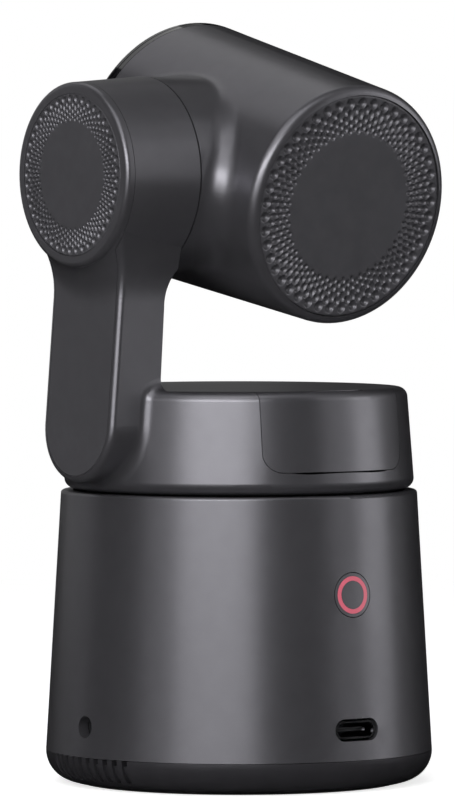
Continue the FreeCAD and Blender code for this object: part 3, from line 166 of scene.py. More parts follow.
def turned(degrees: float, axis: str) -> Matrix:
    """A turn about one axis.

    Args:
        degrees: The angle.
        axis: X, Y or Z.

    Returns:
        The transform.
    """
    return Matrix.Rotation(math.radians(degrees), 4, axis)


def toned(colour: Colour, gain: float, lift: float = 0.0) -> Colour:
    """A lighter or darker tone of a colour.

    Args:
        colour: The colour.
        gain: What each channel is multiplied by.
        lift: What is then added to each channel.

    Returns:
        The tone, with no channel over 1.
    """
    return tuple(min(1.0, part * gain + lift) for part in colour)


class Bench:
    """Short calls that lay out one node tree."""

    def __init__(self, tree: bpy.types.NodeTree) -> None:
        """Keep the tree that the nodes go in."""
        self.tree = tree

    def add(self, kind: str, **settings: object) -> bpy.types.Node:
        """Add one node.

        Args:
            kind: The node's class name without its prefix.
            **settings: Node properties such as operation or data_type.

        Returns:
            The new node.
        """
        node = self.tree.nodes.new("ShaderNode" + kind)
        for name, value in settings.items():
            setattr(node, name, value)
        return node

    def give(self, entry: bpy.types.NodeSocket, source: object) -> None:
        """Wire an output to an input, or set the input's plain value.

        Args:
            entry: The input.
            source: An output, a number, a vector or a colour without alpha.
        """
        if isinstance(source, bpy.types.NodeSocket):
            self.tree.links.new(source, entry)
        elif entry.type == "RGBA":
            entry.default_value = (*source, 1.0)
        else:
            entry.default_value = source

    def feed(self, node: bpy.types.Node, **sources: object) -> bpy.types.Node:
        """Wire outputs or set plain values on a node's named inputs.

        Args:
            node: The node that takes them.
            **sources: Input names in lower case with underscores, each with a socket or a value.

        Returns:
            The same node.
        """
        names = {entry.name.lower().replace(" ", "_"): entry for entry in reversed(node.inputs)}
        for name, source in sources.items():
            self.give(names[name], source)
        return node

    def maths(self, operation: str, *sources: object) -> bpy.types.NodeSocket:
        """Work out one sum.

        Args:
            operation: The Math node's operation.
            *sources: One to three sockets or numbers.

        Returns:
            The result's socket.
        """
        node = self.add("Math", operation=operation)
        for entry, source in zip(node.inputs, sources):
            self.give(entry, source)
        return node.outputs[0]

    def ranged(self, value: object, band: Band, to: Band = (0.0, 1.0)) -> bpy.types.NodeSocket:
        """Map a value from one range to another, held at its ends.

        Args:
            value: The socket to map.
            band: Start and end of its range.
            to: What the start and the end become.

        Returns:
            The mapped socket.
        """
        node = self.add("MapRange")
        self.feed(node, value=value, from_min=band[0], from_max=band[1], to_min=to[0], to_max=to[1])
        return node.outputs[0]

    def noise(self, vector: object, scale: object, detail: float, warp: float = 0.0) -> bpy.types.NodeSocket:
        """Soft noise.

        Args:
            vector: The place's socket.
            scale: A socket or number.
            detail: How many finer layers it has.
            warp: How far it is distorted.

        Returns:
            The noise value's socket.
        """
        node = self.add("TexNoise")
        return self.feed(node, vector=vector, scale=scale, detail=detail, distortion=warp).outputs[0]

    def length(self, vector: bpy.types.NodeSocket) -> bpy.types.NodeSocket:
        """Measure a vector.

        Args:
            vector: The vector's socket.

        Returns:
            Its length's socket.
        """
        node = self.add("VectorMath", operation="LENGTH")
        self.give(node.inputs[0], vector)
        return node.outputs["Value"]

    def blend(self, share: object, first: object, second: object) -> bpy.types.NodeSocket:
        """Mix two colours.

        Args:
            share: A socket or number, 0 for the first colour and 1 for the second.
            first: A socket or colour.
            second: A socket or colour.

        Returns:
            The mixed colour's socket.
        """
        node = self.add("Mix", data_type="RGBA")
        first_entry, second_entry = [entry for entry in node.inputs if entry.type == "RGBA"]
        self.give(node.inputs[0], share)
        self.give(first_entry, first)
        self.give(second_entry, second)
        return next(out for out in node.outputs if out.type == "RGBA")

    def seen(self) -> bpy.types.NodeSocket:
        """Tell the rays that see the surroundings white from the rest.

        Returns:
            A socket that is 1 for camera, glossy and transmitted rays.
        """
        path = self.add("LightPath").outputs
        seen = self.maths("MAXIMUM", path["Is Camera Ray"], path["Is Glossy Ray"])
        return self.maths("MAXIMUM", seen, path["Is Transmission Ray"])


class Effect(Enum):
    """The shared surface effects, by their shader group's name."""

    GRAIN = "moulded_grain"
    WEAR = "edge_wear"
    DUST = "settled_dust"
    HANDLING = "handling_marks"
    TURNING = "turning_lines"
    SHEETS = "stacked_sheets"
    TRACES = "copper_traces"


class Effects:
    """Builds each shared shader group once and places it in materials."""

    def __init__(self) -> None:
        """Build every group."""
        builders = {
            Effect.GRAIN: self._grain,
            Effect.WEAR: self._wear,
            Effect.DUST: self._dust,
            Effect.HANDLING: self._handling,
            Effect.TURNING: self._turning,
            Effect.SHEETS: self._sheets,
            Effect.TRACES: self._traces,
        }
        self._groups = {effect: builder(effect.value) for effect, builder in builders.items()}

    def place(self, bench: Bench, effect: Effect, **values: object) -> bpy.types.Node:
        """Place one group in a material.

        Args:
            bench: The material's bench.
            effect: Which group.
            **values: The group's inputs.

        Returns:
            The group node.
        """
        node = bench.add("Group", node_tree=self._groups[effect])
        return bench.feed(node, **values)

    def _start(self, name: str, inputs: dict[str, float],
               outputs: list[str]) -> tuple[Bench, dict, bpy.types.Node]:
        """Open a new group with a vector input.

        Args:
            name: The group's name.
            inputs: Number inputs and their values.
            outputs: Number outputs.

        Returns:
            The bench, the inputs' sockets by name, and the output node.
        """
        tree = bpy.data.node_groups.new(name, "ShaderNodeTree")
        tree.interface.new_socket("Vector", in_out="INPUT", socket_type="NodeSocketVector")
        for label, value in inputs.items():
            entry = tree.interface.new_socket(label, in_out="INPUT", socket_type="NodeSocketFloat")
            entry.default_value = value
        for label in outputs:
            tree.interface.new_socket(label, in_out="OUTPUT", socket_type="NodeSocketFloat")
        given = {socket.name: socket for socket in tree.nodes.new("NodeGroupInput").outputs}
        return Bench(tree), given, tree.nodes.new("NodeGroupOutput")

    def _grain(self, name: str) -> bpy.types.NodeTree:
        """Spark-eroded mould grain: a fine pebble on a slow mottle."""
        grit_scale, cloud_scale = 1.7, 0.06
        pebble_share, grit_share = 0.7, 0.5
        bench, given, out = self._start(name, {"Scale": 5200.0}, ["Height", "Mottle"])
        pebble = bench.add("TexVoronoi", feature="SMOOTH_F1")
        bench.feed(pebble, vector=given["Vector"], scale=given["Scale"])
        grit = bench.noise(given["Vector"], bench.maths("MULTIPLY", given["Scale"], grit_scale), 2.0)
        cloud = bench.noise(given["Vector"], bench.maths("MULTIPLY", given["Scale"], cloud_scale), 3.0)
        height = bench.maths("ADD", bench.maths("MULTIPLY", pebble.outputs[0], pebble_share),
                             bench.maths("MULTIPLY", grit, grit_share))
        bench.feed(out, height=height, mottle=bench.ranged(cloud, NOISE_BAND))
        return bench.tree

    def _wear(self, name: str) -> bpy.types.NodeTree:
        """Mask of the outer edges, broken up by noise."""
        sharp_band, broken_band, least_share = (0.53, 0.6), (0.35, 0.65), 0.2
        bench, given, out = self._start(name, {"Amount": 0.3, "Scale": 900.0}, ["Mask"])
        edge = bench.ranged(bench.add("NewGeometry").outputs["Pointiness"], sharp_band)
        broken = bench.noise(given["Vector"], given["Scale"], 3.0)
        mask = bench.maths("MULTIPLY", edge, bench.ranged(broken, broken_band, (least_share, 1.0)))
        bench.feed(out, mask=bench.maths("MULTIPLY", mask, given["Amount"]))
        return bench.tree

    def _dust(self, name: str) -> bpy.types.NodeTree:
        """Mask of fine dust on faces that look up."""
        upward_band, speck_band = (0.55, 1.0), (0.45, 0.8)
        bench, given, out = self._start(name, {"Amount": 0.1, "Scale": 2600.0}, ["Mask"])
        split = bench.feed(bench.add("SeparateXYZ"), vector=bench.add("NewGeometry").outputs["Normal"])
        facing = bench.ranged(split.outputs[2], upward_band)
        specks = bench.ranged(bench.noise(given["Vector"], given["Scale"], 4.0), speck_band)
        mask = bench.maths("MULTIPLY", facing, specks)
        bench.feed(out, mask=bench.maths("MULTIPLY", mask, given["Amount"]))
        return bench.tree

    def _handling(self, name: str) -> bpy.types.NodeTree:
        """Slow change of gloss where hands have been, with a few hair lines."""
        hair_turn, hair_stretch, hair_band = (0.5, 0.3, 0.8), (1.0, 24.0, 24.0), (0.69, 0.74)
        smudge_warp, smudge_middle = 0.6, 0.5
        bench, given, out = self._start(name, {"Scale": 70.0}, ["Smudge", "Hairline"])
        smudge = bench.noise(given["Vector"], given["Scale"], 2.0, smudge_warp)
        stretch = bench.add("Mapping")
        bench.feed(stretch, vector=given["Vector"], rotation=hair_turn, scale=hair_stretch)
        hair = bench.noise(stretch.outputs[0], given["Scale"], 1.0)
        bench.feed(out, smudge=bench.maths("SUBTRACT", smudge, smudge_middle),
                   hairline=bench.ranged(hair, hair_band))
        return bench.tree

    def _turning(self, name: str) -> bpy.types.NodeTree:
        """Fine rings round the Z axis of the given vector, as a lathe leaves."""
        bench, given, out = self._start(name, {"Scale": 9000.0}, ["Height", "Shade"])
        split = bench.feed(bench.add("SeparateXYZ"), vector=given["Vector"])
        flat = bench.feed(bench.add("CombineXYZ"), x=split.outputs[0], y=split.outputs[1])
        along = bench.feed(bench.add("CombineXYZ"), x=bench.length(flat.outputs[0]), y=split.outputs[2])
        rings = bench.noise(along.outputs[0], given["Scale"], 1.0)
        bench.feed(out, height=rings, shade=bench.ranged(rings, NOISE_BAND))
        return bench.tree

    def _sheets(self, name: str) -> bpy.types.NodeTree:
        """Thin stacked sheets across the Z axis of the given vector."""
        gap_share = 0.16
        bench, given, out = self._start(name, {"Pitch": 0.0005}, ["Gap", "Shade"])
        split = bench.feed(bench.add("SeparateXYZ"), vector=given["Vector"])
        turns = bench.maths("DIVIDE", split.outputs[2], given["Pitch"])
        sheet = bench.add("TexWhiteNoise", noise_dimensions="1D")
        bench.feed(sheet, w=bench.maths("FLOOR", turns))
        gap = bench.maths("LESS_THAN", bench.maths("FRACT", turns), gap_share)
        bench.feed(out, gap=gap, shade=sheet.outputs["Value"])
        return bench.tree

    def _traces(self, name: str) -> bpy.types.NodeTree:
        """Copper runs under solder mask, with tinned pads and vias."""
        lines_per_metre, line_share, covered_from = 1250.0, 0.38, 0.62
        cell_change, pad_scale, pad_reach = 0.8, 1.3, 0.17
        bench, given, out = self._start(name, {"Scale": 420.0}, ["Trace", "Pad"])
        cells = bench.feed(bench.add("TexVoronoi", distance="CHEBYCHEV"), vector=given["Vector"],
                           scale=given["Scale"], randomness=cell_change)
        tone = bench.feed(bench.add("SeparateColor"), color=cells.outputs["Color"])
        way = bench.feed(bench.add("SeparateXYZ"), vector=given["Vector"])
        runs = []
        for axis in (0, 1):
            lines = bench.maths("FRACT", bench.maths("MULTIPLY", way.outputs[axis], lines_per_metre))
            line = bench.maths("LESS_THAN", lines, line_share)
            covered = bench.maths("GREATER_THAN", tone.outputs[axis], covered_from)
            runs.append(bench.maths("MULTIPLY", line, covered))
        scale = bench.maths("MULTIPLY", given["Scale"], pad_scale)
        pads = bench.feed(bench.add("TexVoronoi"), vector=given["Vector"], scale=scale)
        pad = bench.maths("LESS_THAN", pads.outputs[0], pad_reach)
        bench.feed(out, trace=bench.maths("MAXIMUM", *runs), pad=pad)
        return bench.tree


class Surface:
    """A material under way: its bench, its Principled shader and its Object coordinates."""

    def __init__(self, name: str) -> None:
        """Open a new material.

        Args:
            name: The material's name.
        """
        self.material = bpy.data.materials.new(name)
        self.material.use_nodes = True
        self.bench = Bench(self.material.node_tree)
        self.shader = self.material.node_tree.nodes["Principled BSDF"]
        self.place = self.bench.add("TexCoord").outputs["Object"]

    def place_about(self, degrees: Triple, centre: Triple) -> bpy.types.NodeSocket:
        """Object coordinates turned and centred for a pattern.

        Args:
            degrees: Turn about each axis.
            centre: The pattern's centre in metres.

        Returns:
            The mapped vector's socket.
        """
        mapping = self.bench.add("Mapping", vector_type="TEXTURE")
        self.bench.feed(mapping, vector=self.place, location=centre,
                        rotation=tuple(math.radians(angle) for angle in degrees))
        return mapping.outputs[0]

    def bump(self, height: bpy.types.NodeSocket, depth: float) -> None:
        """Feed the shader's normal from a height.

        Args:
            height: The height's socket, about 0 to 1.
            depth: What a height of 1 is, in metres.
        """
        node = self.bench.feed(self.bench.add("Bump"), height=height, distance=depth, strength=1.0)
        self.bench.feed(self.shader, normal=node.outputs[0])


@dataclass(frozen=True)
class Finish(ABC):
    """One finish, known by its material's name."""

    name: str

    def build(self, effects: Effects) -> bpy.types.Material:
        """Make the material.

        Args:
            effects: The shared groups.

        Returns:
            The finished material.
        """
        surface = Surface(self.name)
        self.lay_out(surface, effects)
        return surface.material

    @abstractmethod
    def lay_out(self, surface: Surface, effects: Effects) -> None:
        """Wire the material's nodes.

        Args:
            surface: The material under way.
            effects: The shared groups.
        """


@dataclass(frozen=True)
class MouldedPlastic(Finish):
    """Moulded or painted plastic with a fine grain, slow mottle, handling marks and a little dust."""

    colour: Colour
    roughness: float
    metallic: float = 0.0
    specular: float = 0.5
    coat: float = 0.0
    coat_roughness: float = 0.08
    grain_scale: float = 5200.0
    grain_depth: float = 0.000006
    mottle: float = 0.06
    smudge: float = 0.08
    hairline: float = 0.05
    wear: float = 0.12
    worn_gain: float = 1.8
    worn_lift: float = 0.01
    dust: float = 0.04
    dust_colour: Colour = (0.42, 0.41, 0.39)

    def lay_out(self, surface: Surface, effects: Effects) -> None:
        """Wire grain, wear, dust and marks into colour, gloss and normal."""
        bench = surface.bench
        grain = effects.place(bench, Effect.GRAIN, vector=surface.place, scale=self.grain_scale)
        wear = effects.place(bench, Effect.WEAR, vector=surface.place, amount=self.wear)
        dust = effects.place(bench, Effect.DUST, vector=surface.place, amount=self.dust)
        marks = effects.place(bench, Effect.HANDLING, vector=surface.place)
        colour = bench.blend(grain.outputs["Mottle"], toned(self.colour, 1 - self.mottle),
                             toned(self.colour, 1 + self.mottle))
        worn = toned(self.colour, self.worn_gain, self.worn_lift)
        colour = bench.blend(wear.outputs["Mask"], colour, worn)
        colour = bench.blend(dust.outputs["Mask"], colour, self.dust_colour)
        rough = bench.maths("MULTIPLY_ADD", marks.outputs["Smudge"], self.smudge, self.roughness)
        rough = bench.maths("MULTIPLY_ADD", marks.outputs["Hairline"], self.hairline, rough)
        bench.feed(surface.shader, base_color=colour, roughness=rough, metallic=self.metallic,
                   specular_ior_level=self.specular, coat_weight=self.coat,
                   coat_roughness=self.coat_roughness)
        surface.bump(grain.outputs["Height"], self.grain_depth)


@dataclass(frozen=True)
class TurnedMetal(Finish):
    """Machined or rolled metal with tool lines and small marks."""

    colour: Colour
    roughness: float
    turn: Triple = (0.0, 0.0, 0.0)
    centre: Triple = (0.0, 0.0, 0.0)
    line_scale: float = 9000.0
    line_depth: float = 0.000004
    line_roughness: float = 0.12
    smudge: float = 0.15
    dull_gain: float = 0.8
    wear: float = 0.5
    worn_gain: float = 1.3

    def lay_out(self, surface: Surface, effects: Effects) -> None:
        """Wire tool lines, wear and marks into colour, gloss and normal."""
        bench = surface.bench
        lines = effects.place(bench, Effect.TURNING, vector=surface.place_about(self.turn, self.centre),
                              scale=self.line_scale)
        wear = effects.place(bench, Effect.WEAR, vector=surface.place, amount=self.wear)
        marks = effects.place(bench, Effect.HANDLING, vector=surface.place)
        colour = bench.blend(lines.outputs["Shade"], toned(self.colour, self.dull_gain), self.colour)
        colour = bench.blend(wear.outputs["Mask"], colour, toned(self.colour, self.worn_gain))
        rough = bench.maths("MULTIPLY_ADD", lines.outputs["Shade"], self.line_roughness, self.roughness)
        rough = bench.maths("MULTIPLY_ADD", marks.outputs["Smudge"], self.smudge, rough)
        bench.feed(surface.shader, base_color=colour, roughness=rough, metallic=1.0)
        surface.bump(lines.outputs["Height"], self.line_depth)


@dataclass(frozen=True)
class LaminatedIron(Finish):
    """Stacked motor sheets with thin dark gaps between them."""

    colour: Colour = (0.2, 0.2, 0.21)
    dull_gain: float = 0.75
    gap_colour: Colour = (0.03, 0.028, 0.026)
    gap_depth: float = 0.00003
    pitch: float = 0.0005
    roughness: float = 0.38
    mottle_roughness: float = 0.15
    metallic: float = 0.9

    def lay_out(self, surface: Surface, effects: Effects) -> None:
        """Wire sheets and grain into colour, gloss and normal."""
        bench = surface.bench
        sheets = effects.place(bench, Effect.SHEETS, vector=surface.place, pitch=self.pitch)
        grain = effects.place(bench, Effect.GRAIN, vector=surface.place)
        tone = bench.blend(sheets.outputs["Shade"], toned(self.colour, self.dull_gain), self.colour)
        colour = bench.blend(sheets.outputs["Gap"], tone, self.gap_colour)
        rough = bench.maths("MULTIPLY_ADD", grain.outputs["Mottle"], self.mottle_roughness, self.roughness)
        bench.feed(surface.shader, base_color=colour, roughness=rough, metallic=self.metallic)
        surface.bump(bench.maths("SUBTRACT", 1.0, sheets.outputs["Gap"]), self.gap_depth)


@dataclass(frozen=True)
class PrintedBoard(Finish):
    """Glass-fibre board under green solder mask, with copper runs and tinned pads."""

    mask: Colour = (0.008, 0.09, 0.04)
    trace_gain: float = 1.9
    pad: Colour = (0.7, 0.68, 0.62)
    copper_height: float = 0.00003
    roughness: float = 0.3
    smudge: float = 0.12

    def lay_out(self, surface: Surface, effects: Effects) -> None:
        """Wire copper and marks into colour, gloss and normal."""
        bench = surface.bench
        copper = effects.place(bench, Effect.TRACES, vector=surface.place)
        marks = effects.place(bench, Effect.HANDLING, vector=surface.place)
        colour = bench.blend(copper.outputs["Trace"], self.mask, toned(self.mask, self.trace_gain))
        colour = bench.blend(copper.outputs["Pad"], colour, self.pad)
        rough = bench.maths("MULTIPLY_ADD", marks.outputs["Smudge"], self.smudge, self.roughness)
        bench.feed(surface.shader, base_color=colour, roughness=rough, metallic=copper.outputs["Pad"])
        surface.bump(bench.maths("ADD", copper.outputs["Trace"], copper.outputs["Pad"]), self.copper_height)


@dataclass(frozen=True)
class LitRing(Finish):
    """Frosted light guide that glows red."""

    colour: Colour = (0.44, 0.07, 0.11)
    light_gain: float = 1.1
    glow: Colour = (0.36, 0.055, 0.085)
    dim_gain: float = 0.85
    strength: float = 0.42
    grain_scale: float = 3800.0
    grain_depth: float = 0.000005
    roughness: float = 0.4
    mottle_roughness: float = 0.08
    coat: float = 0.7
    coat_roughness: float = 0.3

    def lay_out(self, surface: Surface, effects: Effects) -> None:
        """Wire grain into colour, glow, gloss and normal."""
        bench = surface.bench
        grain = effects.place(bench, Effect.GRAIN, vector=surface.place, scale=self.grain_scale)
        mottle = grain.outputs["Mottle"]
        glow = bench.blend(mottle, toned(self.glow, self.dim_gain), self.glow)
        colour = bench.blend(mottle, self.colour, toned(self.colour, self.light_gain))
        rough = bench.maths("MULTIPLY_ADD", mottle, self.mottle_roughness, self.roughness)
        bench.feed(surface.shader, base_color=colour, emission_color=glow, emission_strength=self.strength,
                   roughness=rough, coat_weight=self.coat, coat_roughness=self.coat_roughness)
        surface.bump(grain.outputs["Height"], self.grain_depth)


@dataclass(frozen=True)
class CoatedGlass(Finish):
    """Clear lens glass with a thin coloured anti-reflection coat."""

    tint: Colour = (0.93, 0.95, 1.0)
    ior: float = 1.52
    roughness: float = 0.02
    hairline: float = 0.03
    coat: float = 0.3
    coat_ior: float = 1.9
    coat_tint: Colour = (0.75, 0.7, 1.0)
    coat_roughness: float = 0.02

    def lay_out(self, surface: Surface, effects: Effects) -> None:
        """Wire hair lines into the gloss of coated glass."""
        bench = surface.bench
        marks = effects.place(bench, Effect.HANDLING, vector=surface.place)
        rough = bench.maths("MULTIPLY_ADD", marks.outputs["Hairline"], self.hairline, self.roughness)
        bench.feed(surface.shader, base_color=self.tint, roughness=rough, metallic=0.0, ior=self.ior,
                   transmission_weight=1.0, coat_weight=self.coat, coat_ior=self.coat_ior,
                   coat_tint=self.coat_tint, coat_roughness=self.coat_roughness)


@dataclass(frozen=True)
class WrappedCell(Finish):
    """Shrink-wrapped battery cell with soft creases in its film."""

    colour: Colour = (0.03, 0.07, 0.2)
    dull_gain: float = 0.8
    crease_scale: float = 160.0
    crease_warp: float = 1.4
    crease_depth: float = 0.00008
    roughness: float = 0.3
    smudge: float = 0.1

    def lay_out(self, surface: Surface, effects: Effects) -> None:
        """Wire creases and marks into colour, gloss and normal."""
        bench = surface.bench
        crease = bench.noise(surface.place, self.crease_scale, 2.0, self.crease_warp)
        marks = effects.place(bench, Effect.HANDLING, vector=surface.place)
        colour = bench.blend(crease, toned(self.colour, self.dull_gain), self.colour)
        rough = bench.maths("MULTIPLY_ADD", marks.outputs["Smudge"], self.smudge, self.roughness)
        bench.feed(surface.shader, base_color=colour, roughness=rough)
        surface.bump(crease, self.crease_depth)


CASING_COLOUR = (0.127, 0.1245, 0.137)
HEAD_MIDDLE = (HEAD_MIDDLE_X * MILLIMETRE, 0.0, TILT_AXIS_HEIGHT * MILLIMETRE)

# The record's slots, then the finishes that only single nodes or the discs take.
FINISHES: dict[str, Finish] = {
    "casing": MouldedPlastic("satin_gunmetal_casing", CASING_COLOUR, 0.3, metallic=0.76, mottle=0.03,
                             smudge=0.025, wear=0.06, dust=0.015),
    "black_gloss": MouldedPlastic("polished_black", (0.006, 0.006, 0.007), 0.07, coat=0.6,
                                  grain_depth=0.0000004, mottle=0.1, smudge=0.05, dust=0.02),
    "grille": MouldedPlastic("matt_dark_grille", (0.095, 0.093, 0.103), 0.38, metallic=0.6),
    "dark_plastic": MouldedPlastic("textured_black_plastic", (0.018, 0.018, 0.02), 0.55,
                                   grain_scale=3400.0, grain_depth=0.00002, mottle=0.15),
    "rubber": MouldedPlastic("matt_rubber", (0.014, 0.014, 0.014), 0.85, specular=0.25,
                             grain_scale=2200.0, grain_depth=0.00003, mottle=0.2, dust=0.0),
    "chip": MouldedPlastic("moulded_chip", (0.02, 0.02, 0.022), 0.5, grain_scale=4200.0,
                           grain_depth=0.00001, mottle=0.12),
    "light_ring": LitRing("lit_ring"),
    "steel": TurnedMetal("turned_steel", (0.55, 0.55, 0.56), 0.24),
    "trim": TurnedMetal("dark_anodised_trim", (0.16, 0.16, 0.175), 0.26,
                        turn=(90.0 + REST_TILT_DEG, 0.0, 0.0), centre=HEAD_MIDDLE),
    "heat_sink": TurnedMetal("extruded_aluminium", (0.62, 0.63, 0.65), 0.32, line_scale=2600.0),
    "board": PrintedBoard("green_board"),
    "battery": WrappedCell("wrapped_cell"),
    "motor": LaminatedIron("laminated_iron"),
    "lens_glass": CoatedGlass("coated_lens_glass"),
    "pressed_casing": MouldedPlastic("satin_pressed_casing", CASING_COLOUR, 0.4, metallic=0.74),
    # Bottom cover in a casing-like finish, darker than the casing as painted shade under the base.
    "underside": MouldedPlastic("satin_dark_underside", (0.07, 0.068, 0.076), 0.34, metallic=0.7),
    # Dark plastic in the recess under the turret, made near black as painted shade.
    "recess": MouldedPlastic("unlit_recess_plastic", (0.006, 0.006, 0.006), 0.75, specular=0.2),
    "port_metal": TurnedMetal("blackened_port_metal", (0.17, 0.17, 0.18), 0.12),
}

# Nodes that take another finish than their slot's.
OWN_FINISHES = {
    # The parts in the recess under the turret take near-black painted shade.
    "base_top_plate": "recess",
    "turret_floor": "recess",
    "pan_hub": "recess",
    # The bottom cover takes a darker colour as painted shade under the base.
    "bottom_cover": "underside",
    "usb_receptacle": "port_metal",
}


class Finishes:
    """The materials of all finishes, by the finish's key."""

    def __init__(self, effects: Effects) -> None:
        """Build all materials.

        Args:
            effects: The shared groups.
        """
        self._materials = {key: finish.build(effects) for key, finish in FINISHES.items()}

    def __getitem__(self, key: str) -> bpy.types.Material:
        """Look up the material of a finish.

        Args:
            key: The finish's key.

        Returns:
            Its material.
        """
        return self._materials[key]

    def dress_nodes(self) -> None:
        """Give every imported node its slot's material, or its own."""
        slots = {part["node"]: part["material_slot"] for part in frame["record"]["subparts"]}
        for name, node in frame["nodes"].items():
            key = OWN_FINISHES.get(name, slots[name])
            for holder in node.material_slots:
                holder.material = self[key]
            LOG.info("node %s takes %s", name, key)


@dataclass(frozen=True)
class DimpleRow:
    """One ring of pressed oval dimples, in millimetres."""

    radius: float
    half_across: float
    half_along: float
    staggered: bool


@dataclass(frozen=True)
class DimpledDisc:
    """Disc, in millimetres, with rings of dimples round a plain centre, facing +Z until it is placed."""

    name: str
    node: str
    body: str
    slot: str
    finish: str
    radius: float
    thickness: float
    plain_radius: float
    field_radius: float
    rows: tuple[DimpleRow, ...]
    depth_share: float
    place: Matrix
    outward: int
    count: int = 45
    across: int = 22
    rim: float = 0.12
    stud_rise: float = 0.3
    stud_segments: int = 48
    stud_rings: int = 32
    lip: float = 0.15
    centre_share: float = 0.8

    @property
    def middle(self) -> float:
        """Radius of the field's middle line."""
        return (self.plain_radius + self.field_radius) / 2

    def make(self, finishes: Finishes) -> bpy.types.Object:
        """Model, dress and place the disc.

        Args:
            finishes: All materials.

        Returns:
            The finished piece.
        """
        piece = self._pressed_pitch()
        self._lay_out_ring(piece)
        self._close_disc(piece)
        piece.data.transform(self.place)
        settle(piece)
        piece.data.materials.clear()
        piece.data.materials.append(finishes[self.finish])
        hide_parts(self.node)
        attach(piece, self.body)
        LOG.info("piece %s: %d faces", piece.name, len(piece.data.polygons))
        return piece

    def _punch(self, pitch: float) -> bpy.types.Object:
        """Model what presses one pitch: a flat sheet with a rounded stud for every dimple under it.

        Args:
            pitch: Width of the cell, in millimetres.

        Returns:
            The joined sheet and studs.
        """
        deselect()
        bpy.ops.mesh.primitive_plane_add(size=self.middle * math.pi * MILLIMETRE)
        sheet = bpy.context.object
        studs = []
        # A stud's middle is above the sheet, so it is wider than the dimple that it leaves.
        rise = self.stud_rise
        swell = 1 / math.sqrt(1 - (rise / (1 + rise)) ** 2)
        for row in self.rows:
            depth = self.depth_share * row.half_across
            half_wide = swell * row.half_across * self.middle / row.radius
            size = Vector((half_wide, swell * row.half_along, depth * (1 + rise))) * MILLIMETRE
            for place_x in (-pitch / 2, pitch / 2) if row.staggered else (0.0,):
                place = Vector((place_x, self.middle - row.radius, rise * depth)) * MILLIMETRE
                bpy.ops.mesh.primitive_uv_sphere_add(segments=self.stud_segments, ring_count=self.stud_rings,
                                                     radius=1.0, location=place, scale=size)
                studs.append(bpy.context.object)
        take(sheet)
        for stud in studs:
            stud.select_set(True)
        bpy.ops.object.join()
        return sheet

    def _pressed_pitch(self) -> bpy.types.Object:
        """Model one pitch of the field laid flat, X along the ring and -Y outward.

        Returns:
            The flat cell with its dimples pressed in.
        """
        pitch = 2 * math.pi * self.middle / self.count
        width = self.field_radius - self.plain_radius
        punch = self._punch(pitch)
        deselect()
        bpy.ops.mesh.primitive_grid_add(x_subdivisions=self.across, y_subdivisions=self.outward, size=1.0)
        cell = bpy.context.object
        cell.name = self.name
        edit(cell)
        bpy.ops.transform.resize(value=(pitch * MILLIMETRE, width * MILLIMETRE, 1.0))
        below_studs = 2 * self.rows[0].half_across * MILLIMETRE
        bpy.ops.transform.translate(value=(0, 0, -below_studs))
        press = cell.modifiers.new("press", "SHRINKWRAP")
        press.target = punch
        press.wrap_method = "PROJECT"
        press.use_project_z = True
        press.use_negative_direction = False
        press.use_positive_direction = True
        finish_modifiers(cell)
        deselect()
        bpy.data.objects.remove(punch)
        return cell

    def _lay_out_ring(self, piece: bpy.types.Object) -> None:
        """Repeat the flat cell to the full count and bend the strip into a ring.

        Args:
            piece: The flat cell.
        """
        strip = piece.modifiers.new("pitches", "ARRAY")
        strip.count = self.count
        strip.use_merge_vertices = True
        strip.merge_threshold = WELD_DISTANCE
        finish_modifiers(piece)
        bpy.ops.object.origin_set(type="ORIGIN_GEOMETRY", center="BOUNDS")
        piece.location = (0, 0, 0)
        ring = piece.modifiers.new("ring", "SIMPLE_DEFORM")
        ring.deform_method = "BEND"
        ring.deform_axis = "Z"
        ring.angle = 2 * math.pi
        finish_modifiers(piece)
        edit(piece)
        bpy.ops.mesh.remove_doubles(threshold=WELD_DISTANCE)

    def _close_disc(self, piece: bpy.types.Object) -> None:
        """Centre the ring, fill its middle and give it its plain rim, wall and back.

        Args:
            piece: The bent ring.
        """
        edit(piece)
        mesh = bmesh.from_edit_mesh(piece.data)
        low = min(vertex.co.y for vertex in mesh.verts)
        high = max(vertex.co.y for vertex in mesh.verts)
        top = max(vertex.co.z for vertex in mesh.verts)
        bpy.ops.transform.translate(value=(0, -(low + high) / 2, -top))
        inner = self.plain_radius * MILLIMETRE
        outer = self.field_radius * MILLIMETRE
        pick_points(piece, lambda at: at.xy.length < inner + PICK_SLACK)
        extrude(1 - self.lip / self.plain_radius)
        extrude(self.centre_share)
        bpy.ops.mesh.edge_face_add()
        pick_points(piece, lambda at: at.xy.length > outer - PICK_SLACK)
        rim_radius = self.radius - self.rim
        extrude(rim_radius / self.field_radius)
        extrude(self.radius / rim_radius, self.rim * MILLIMETRE)
        extrude(drop=(self.thickness - self.rim) * MILLIMETRE)
        bpy.ops.mesh.edge_face_add()
        bpy.ops.mesh.select_all(action="SELECT")
        bpy.ops.mesh.normals_make_consistent(inside=False)
        bpy.ops.object.mode_set(mode="OBJECT")


def dimple_rows(*sizes: Triple) -> tuple[DimpleRow, ...]:
    """Set out rings of dimples from the rim inward, every second one staggered.

    Args:
        *sizes: Each ring's radius, and the half width and half length of its dimples.

    Returns:
        The rings.
    """
    return tuple(DimpleRow(*size, index % 2 == 1) for index, size in enumerate(sizes))


